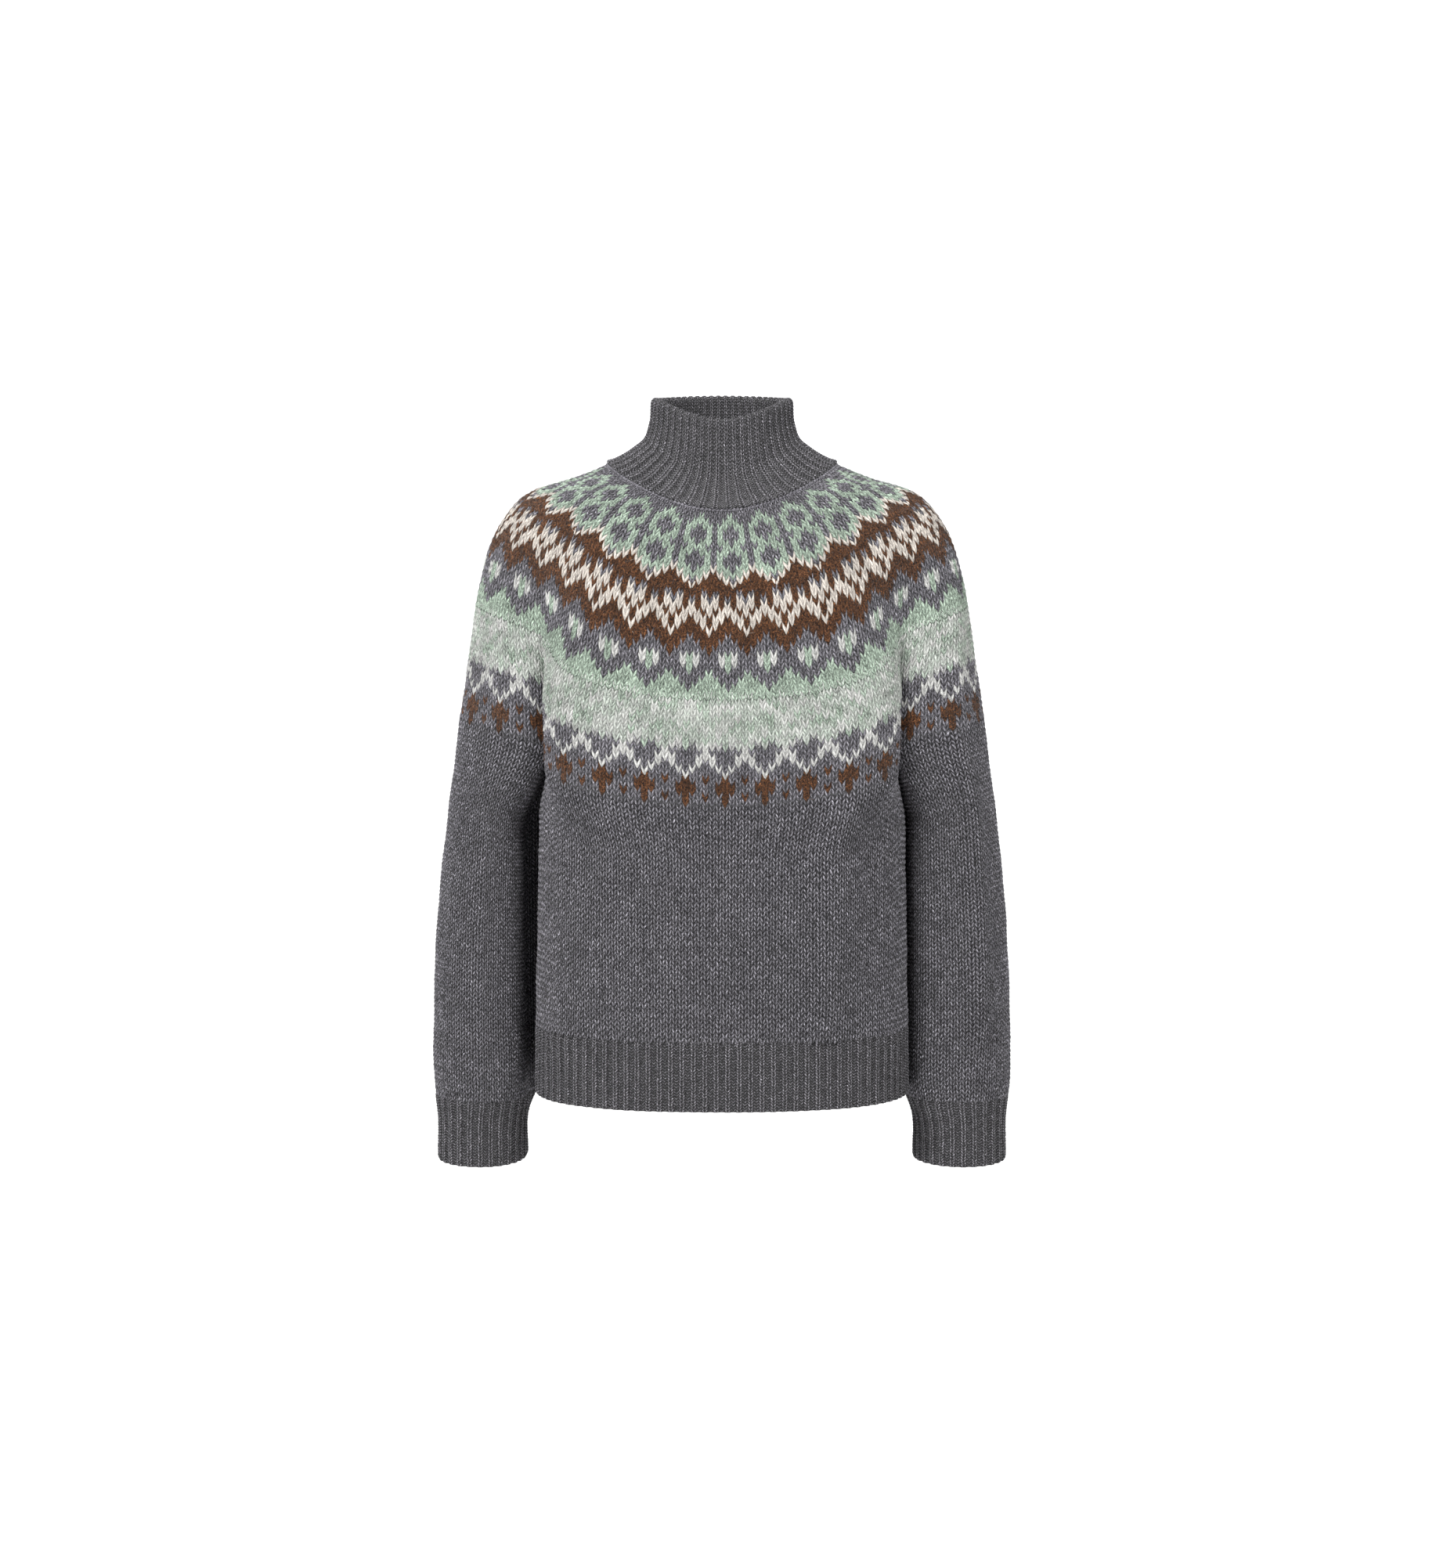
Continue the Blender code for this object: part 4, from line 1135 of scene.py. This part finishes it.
PLAIN_STITCH = stitch_group("plain stitch", 0.30, plain_height, (3.2, 4.6, 1.0))
RIB_STITCH = stitch_group("rib stitch", 0.16, rib_height, (8.0, 3.4, 1.0))
print("shader nodes in a plain stitch:", len(PLAIN_STITCH.nodes), "and a rib:", len(RIB_STITCH.nodes))

# %% [markdown]
# ## The colour of wool
# A third group turns a yarn's colour and the yarn's height into heathered wool: painted shade in the gaps
# between legs and painted highlights on their crests, speckled and streaked with light and dark fibres,
# drifting slowly from patch to patch, and hazy where the yarn is brushed. It is a group because every
# piece uses it.

# %% Heathered wool
def wool_group():
    tree, given, result = new_tree(
        "heathered wool", "ShaderNodeTree",
        [("Yarn", "Color", None), ("Brushed", "Float", 0.1), ("Stitch", "Float", 1.0),
         ("Grain", "Float", 0.5), ("Position", "Vector", None), ("Gap Shade", "Float", 0.62),
         ("Heather", "Float", 1.0)],
        [("Colour", "Color"), ("Height", "Float")])
    position, brushed, stitch = given["Position"], given["Brushed"], given["Stitch"]
    pale = step(tree, "ShaderNodeRGBToBW", {0: given["Yarn"]}).remap(0.12, 0.50)

    # Shade is painted into the gaps between the legs, less in pale and in brushed yarn, and the legs'
    # crests are painted lighter as a highlight.
    depth = given["Gap Shade"] * brushed.remap(0.0, 1.0, 1.05, 0.45) * pale.remap(0.0, 1.0, 1.0, 0.36)
    shade_mask = (1.0 - stitch).at_least(0.0)
    crest_highlight = pale.remap(0.0, 1.0, 1.36, 1.24)
    painted_shading = (crest_highlight - shade_mask ** 0.9 * depth).at_least(0.10)

    # Fibres of other tones speckle and streak it, and whole patches drift.
    heather = given["Heather"] * pale.remap(0.0, 1.0, 1.0, 0.14)
    fibre = noise(position, 620.0, 4.0, 0.75, 0.8) - 0.5
    speckle = fibre * (heather * brushed.remap(0.6, 1.0, 4.4, 10.0)) + 1.0
    streak = (given["Grain"] - 0.5) * (heather * 4.6) + 1.0
    drift = (noise(position, 24.0, 3.0, 0.6) - 0.5) * 0.55 + 1.0
    patch = (noise(position, 95.0) - 0.5) * 0.45 + 1.0
    tone = painted_shading * speckle.at_least(0.15) * (streak.at_least(0.25) * (drift * patch))
    lit = shaded(given["Yarn"], tone)

    # The lightest fibres show as separate flecks.
    fleck = noise(position.vector("ADD", (0.3, 0.7, 0.1)), 1150.0, 2.0, 0.6).remap(0.58, 0.68)
    paler = lit.vector("MULTIPLY", (2.0, 2.0, 2.05))
    put(result["Colour"], step(
        tree, "ShaderNodeMix", {"Factor": fleck * (heather * 0.8), "A": lit, "B": paler},
        output="Result", data_type="RGBA"))
    put(result["Height"], stitch * brushed.remap(0.0, 1.0, 1.0, 0.40)
        + fibre * brushed.remap(0.0, 1.0, 0.35, 1.3))
    return tree


WOOL = wool_group()


# %% Wool materials
def wool_material(name, stitch, heather, gap_shade, relief):
    """Matte wool whose stitches come from a height group and whose colour from the yarn attribute."""
    made, tree, finish = new_material(name, {
        "Roughness": 0.88, "Specular IOR Level": 0.12, "Sheen Weight": 0.12, "Sheen Roughness": 0.45})
    given = {"Position": step(tree, "ShaderNodeTexCoord", output="Object"), "Heather": heather,
             "Gap Shade": gap_shade, "Stitch": 0.62, "Yarn": YARNS["g"][:3] + (1.0,)}
    if stitch:
        place = step(tree, "ShaderNodeUVMap", uv_map="knitting")
        height = step(tree, "ShaderNodeGroup", {"Place": place}, node_tree=stitch)
        yarn = step(tree, "ShaderNodeVertexColor", layer_name="yarn")
        given |= {"Stitch": height, "Grain": height.other("Grain"), "Yarn": yarn,
                  "Brushed": yarn.other("Alpha")}
    wool = step(tree, "ShaderNodeGroup", given, node_tree=WOOL)
    bump = step(tree, "ShaderNodeBump", {"Distance": relief, "Height": wool.other("Height")})
    put(finish["Base Color"], wool)
    put(finish["Normal"], bump)
    return made


# How strong the heather is, how dark the painted shade in the gaps is and how high the bump is, in
# metres.
yoke_wool = wool_material("patterned wool", PLAIN_STITCH, 1.2, 0.98, 0.0016)
plain_wool = wool_material("heathered charcoal wool", PLAIN_STITCH, 1.45, 1.20, 0.0019)
ribbed_wool = wool_material("ribbed charcoal wool", RIB_STITCH, 1.7, 1.38, 0.0026)
for wool, its_pieces in ((yoke_wool, [yoke]), (plain_wool, [body, *sleeves]),
                         (ribbed_wool, [hem, collar, *cuffs])):
    for piece in its_pieces:
        piece.data.materials.append(wool)
    print(f"{wool.name}: {', '.join(piece.name for piece in its_pieces)}")

# %% [markdown]
# ## The chain at the collar's foot
# The collar's stitches are picked up from the yoke's edge, and that leaves a chain of slanting
# links all round its foot, which hides the join. One link is a small slanted ball of yarn, put
# by a geometry tree on points round the foot, each turned to the line of the join.

# %% Chain of links
CHAIN_LINKS = 184
CHAIN_HEIGHT, CHAIN_OUT = 0.0004, 0.0016  # of the links' middles above and outside the edge


def chain_tree():
    tree, given, result = growing_tree("links on a line", (
        ("Length", "Float", 0.0050), ("Width", "Float", 0.0029), ("Slant", "Float", 0.55)))
    ball = step(tree, "GeometryNodeMeshUVSphere", {"Segments": 7, "Rings": 5, "Radius": 0.5})
    sizes = step(tree, "ShaderNodeCombineXYZ",
                 {"X": given["Length"], "Y": given["Width"], "Z": given["Width"]})
    link = step(tree, "GeometryNodeTransform", {"Geometry": ball, "Scale": sizes})
    lean = step(tree, "ShaderNodeCombineXYZ", {"Z": given["Slant"]})
    leant = step(tree, "GeometryNodeTransform", {"Geometry": link, "Rotation": lean})
    turn = step(tree, "FunctionNodeAlignRotationToVector",
                {"Vector": named(tree, "along", "FLOAT_VECTOR")}, axis="X")
    turn = step(tree, "FunctionNodeAlignRotationToVector",
                {"Rotation": turn, "Vector": named(tree, "out", "FLOAT_VECTOR")},
                axis="Z", pivot_axis="X")
    copies = step(tree, "GeometryNodeInstanceOnPoints",
                  {"Points": given["Geometry"], "Instance": leant, "Rotation": turn,
                   "Scale": chance(tree, 0.88, 1.12, 3)})
    settle(tree, copies, given["Material"], result)
    return tree


# %% Lay the chain
def points_object(name, points, vectors):
    mesh = bpy.data.meshes.new(name)
    mesh.from_pydata([tuple(p) for p in points], [], [])
    for label, values in vectors.items():
        mesh.attributes.new(label, "FLOAT_VECTOR", "POINT").data.foreach_set("vector", values.ravel())
    return placed(name, mesh)


def collar_chain():
    turns = np.arange(CHAIN_LINKS) / CHAIN_LINKS
    rings = yoke_surface([0.0, 0.006, 0.012], turns * YOKE)
    out = normals(rings)[0]
    place = rings[0] + out * CHAIN_HEIGHT + unit(rings[1] - rings[0]) * CHAIN_OUT
    onward = unit(np.roll(place, -1, axis=0) - np.roll(place, 1, axis=0))
    source = points_object("chain points", place, {"along": onward, "out": out})
    made = grown("collar_chain", source, chain_tree(), {"Material": chain_wool})
    bpy.data.objects.remove(source)
    return made


# The chain has no stitch group, so its yarn takes a fixed share of the painted gap shade, which darkens
# it like the shade of the crease at the collar's foot.
chain_wool = wool_material("twisted charcoal yarn", None, 1.2, 1.0, 0.0010)
chain = collar_chain()

# %% [markdown]
# ## Loose fibres
# Wool sheds: fine fibres stand a few millimetres off the knitting and soften every edge between
# two colours, most of all on brushed yarn. A hair system would be lost on export, so a geometry
# tree sows short bent needles on the outside of each piece, with its yarn's colour.

# %% Haze of fibres
def haze_tree():
    tree, given, result = growing_tree("loose fibres", (
        ("Density", "Float", 9000.0), ("Brushed Density", "Float", 60000.0),
        ("Length", "Float", 0.0085), ("Thickness", "Float", 0.011), ("Seed", "Int", 1)))
    yarn = named(tree, "yarn", "FLOAT_COLOR")
    brushed = step(tree, "FunctionNodeSeparateColor", {"Color": yarn}, output="Alpha")
    density = (brushed ** 2.0).maths("MULTIPLY_ADD", given["Brushed Density"], given["Density"])
    spots = step(tree, "GeometryNodeDistributePointsOnFaces",
                 {"Mesh": given["Geometry"], "Density": density * named(tree, "outside", "FLOAT"),
                  "Seed": given["Seed"]})
    needle = step(tree, "GeometryNodeMeshCone",
                  {"Vertices": 3, "Side Segments": 2, "Radius Bottom": given["Thickness"],
                   "Radius Top": 0.0, "Depth": 1.0}, fill_type="NGON")
    where = step(tree, "GeometryNodeInputPosition")
    height = step(tree, "ShaderNodeSeparateXYZ", {0: where}, output=2)
    offset = step(tree, "ShaderNodeCombineXYZ", {"Y": height ** 2.0 * -0.45})
    bent = step(tree, "GeometryNodeSetPosition", {"Geometry": needle, "Offset": offset})
    lean = step(tree, "FunctionNodeRandomValue",
                {0: (1.0, 0.0, 0.0), 1: (1.5, 0.4, 6.2832), "Seed": given["Seed"]},
                data_type="FLOAT_VECTOR")
    turned = step(tree, "FunctionNodeRotateRotation",
                  {"Rotation": spots.other("Rotation"), "Rotate By": lean}, rotation_space="LOCAL")
    copies = step(tree, "GeometryNodeInstanceOnPoints",
                  {"Points": spots, "Instance": bent, "Rotation": turned,
                   "Scale": chance(tree, 0.5, 1.4, 11) * given["Length"]})
    toned = step(tree, "GeometryNodeStoreNamedAttribute",
                 {"Geometry": copies, "Name": "tone", "Value": chance(tree, 0.7, 2.0, 5)},
                 data_type="FLOAT", domain="INSTANCE")
    settle(tree, toned, given["Material"], result)
    return tree


# %% Fibre material
def fibre_material():
    """Fibre takes its yarn's colour, and its own random share of lightness."""
    made, tree, finish = new_material("loose fibre", {"Roughness": 0.8, "Specular IOR Level": 0.2})
    yarn = step(tree, "ShaderNodeAttribute", output="Color", attribute_name="yarn")
    tone = step(tree, "ShaderNodeAttribute", output="Fac", attribute_name="tone")
    put(finish["Base Color"], shaded(yarn, tone))
    return made


# %% Sow the fibres
HAZES = (
    # piece, fibres on a square metre of plain and of brushed yarn, seed
    (yoke, 14000.0, 60000.0, 21), (body, 9000.0, 0.0, 22), (sleeves[0], 8000.0, 0.0, 23),
    (sleeves[1], 8000.0, 0.0, 24),
)
fibre_tree, fibre = haze_tree(), fibre_material()
hazes = {}
for piece, density, brushed_density, seed in HAZES:
    hazes[piece.name] = grown(
        piece.name.replace("knitting", "haze"), piece, fibre_tree,
        {"Density": density, "Brushed Density": brushed_density, "Seed": seed, "Material": fibre})

# %% [markdown]
# ## The pieces on the frame
# Each piece rides on the one body of this part and stands for a plain solid, whose node is hidden.
# Knitting is cloth, and the table gives each piece the size it would have if it were cut open and laid
# flat. A gathered or folded piece shows less of its length than it has.

# %% Ride and replace
PIECES = (
    # piece, node, material slot, flat width, flat length, how it is held, what it hangs from
    (yoke, "yoke", "patterned_wool", 1.34, 0.30, "draped", [collar]),
    (body, "body", "charcoal_wool", 1.02, 0.235, "hung", [yoke]),
    (sleeves[0], "sleeve_left", "charcoal_wool", 0.34, 0.36, "hung", [yoke]),
    (sleeves[1], "sleeve_right", "charcoal_wool", 0.34, 0.36, "hung", [yoke]),
    (collar, "collar", "rib_wool", 0.52, 0.11, "folded", [yoke]),
    (hem, "hem_rib", "rib_wool", 1.02, 0.063, "hung", [body]),
    (cuffs[0], "cuff_left", "rib_wool", 0.30, 0.0615, "hung", [sleeves[0]]),
    (cuffs[1], "cuff_right", "rib_wool", 0.30, 0.0615, "hung", [sleeves[1]]),
)
for piece, node, slot, width, length, held, rests_on in PIECES:
    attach(piece, "root")
    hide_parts(node)
    loose = [hazes[piece.name]] if piece.name in hazes else []
    loose += [chain] if piece is collar else []
    for part in loose:
        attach(part, "root")
print(len(PIECES), "sheets declared")

# %% [markdown]
# ## The studio
# A pale seamless floor and soft light from large panels show wool best: broad light keeps the
# stitches' own small shadows, and nothing reflects. The camera stands level with the chest, far
# enough away for a calm perspective, and its picture is slid down instead of being tilted.

# %% Floor
def studio_floor(reach=14.0, height=-1.45, wall_at=5.0, wall_height=7.0, bend=1.0):
    """A sheet that lies on the floor and turns up behind in a smooth bend."""
    turn = np.radians(np.linspace(0, 90, 13))
    side = [(-reach, height)] + [(wall_at - bend + bend * math.sin(a), height + bend - bend * math.cos(a))
                                 for a in turn] + [(wall_at, wall_height)]
    rows = len(side)
    mesh = bpy.data.meshes.new("studio_floor")
    mesh.from_pydata([(x, y, z) for x in (-reach, reach) for y, z in side], [],
                     [(k, rows + k, rows + k + 1, k + 1) for k in range(rows - 1)])
    mesh.shade_smooth()
    mesh.materials.append(new_material("pale studio floor", {
        "Base Color": (0.92, 0.92, 0.92, 1.0), "Roughness": 0.9, "Specular IOR Level": 0.0})[0])
    placed("studio_floor", mesh)


# %% Panels of light
def panel(name, place, aim, size, power):
    light = bpy.data.lights.new(name, "AREA")
    light.shape, light.size, light.energy = "SQUARE", size, power
    lamp = placed(name, light)
    lamp.location = place
    lamp.rotation_euler = (Vector(aim) - Vector(place)).to_track_quat("-Z", "Y").to_euler()


studio_floor()
CHEST = (0, 0, -0.32)
panel("key panel", (-1.3, -2.55, 1.6), CHEST, 1.3, 155)
panel("fill panel", (1.5, -2.5, 1.2), CHEST, 1.3, 71)
for side in (-1, 1):
    panel("backdrop panel", (2.6 * side, 1.2, 2.2), (0.6 * side, 5.0, 0.2), 2.0, 62)
    panel("floor panel", (2.6 * side, 1.4, 2.4), (0.5 * side, 3.0, -1.45), 2.0, 32)
world = bpy.data.worlds.new("studio")
world.use_nodes = True
for label, value in (("Color", (1.0, 1.0, 1.0, 1.0)), ("Strength", 0.34)):
    put(world.node_tree.nodes["Background"].inputs[label], value)
bpy.context.scene.world = world
bpy.context.scene.view_settings.view_transform = "Standard"
print(len(bpy.data.lights), "panels of light")

# %% Camera
CAMERA_PLACE = (0.0, -2.5, -0.115)
LONG_SIDE = 2003.0  # of the picture, in its own pixels; the other side is 1848
FOCAL = 3290.0  # focal length in the same pixels
SLIDE = (2.0, -239.5)  # of the picture, in the same pixels
camera = bpy.data.cameras.new("camera")
camera.sensor_width = camera.sensor_height = 36.0
camera.lens = 36.0 * FOCAL / LONG_SIDE
camera.shift_x, camera.shift_y = (slide / LONG_SIDE for slide in SLIDE)
viewer = placed("camera", camera)
viewer.location = CAMERA_PLACE
viewer.rotation_euler = (math.pi / 2, 0.0, 0.0)
bpy.context.scene.camera = viewer
print(f"camera: {camera.lens:.1f} mm at {-CAMERA_PLACE[1]} m")
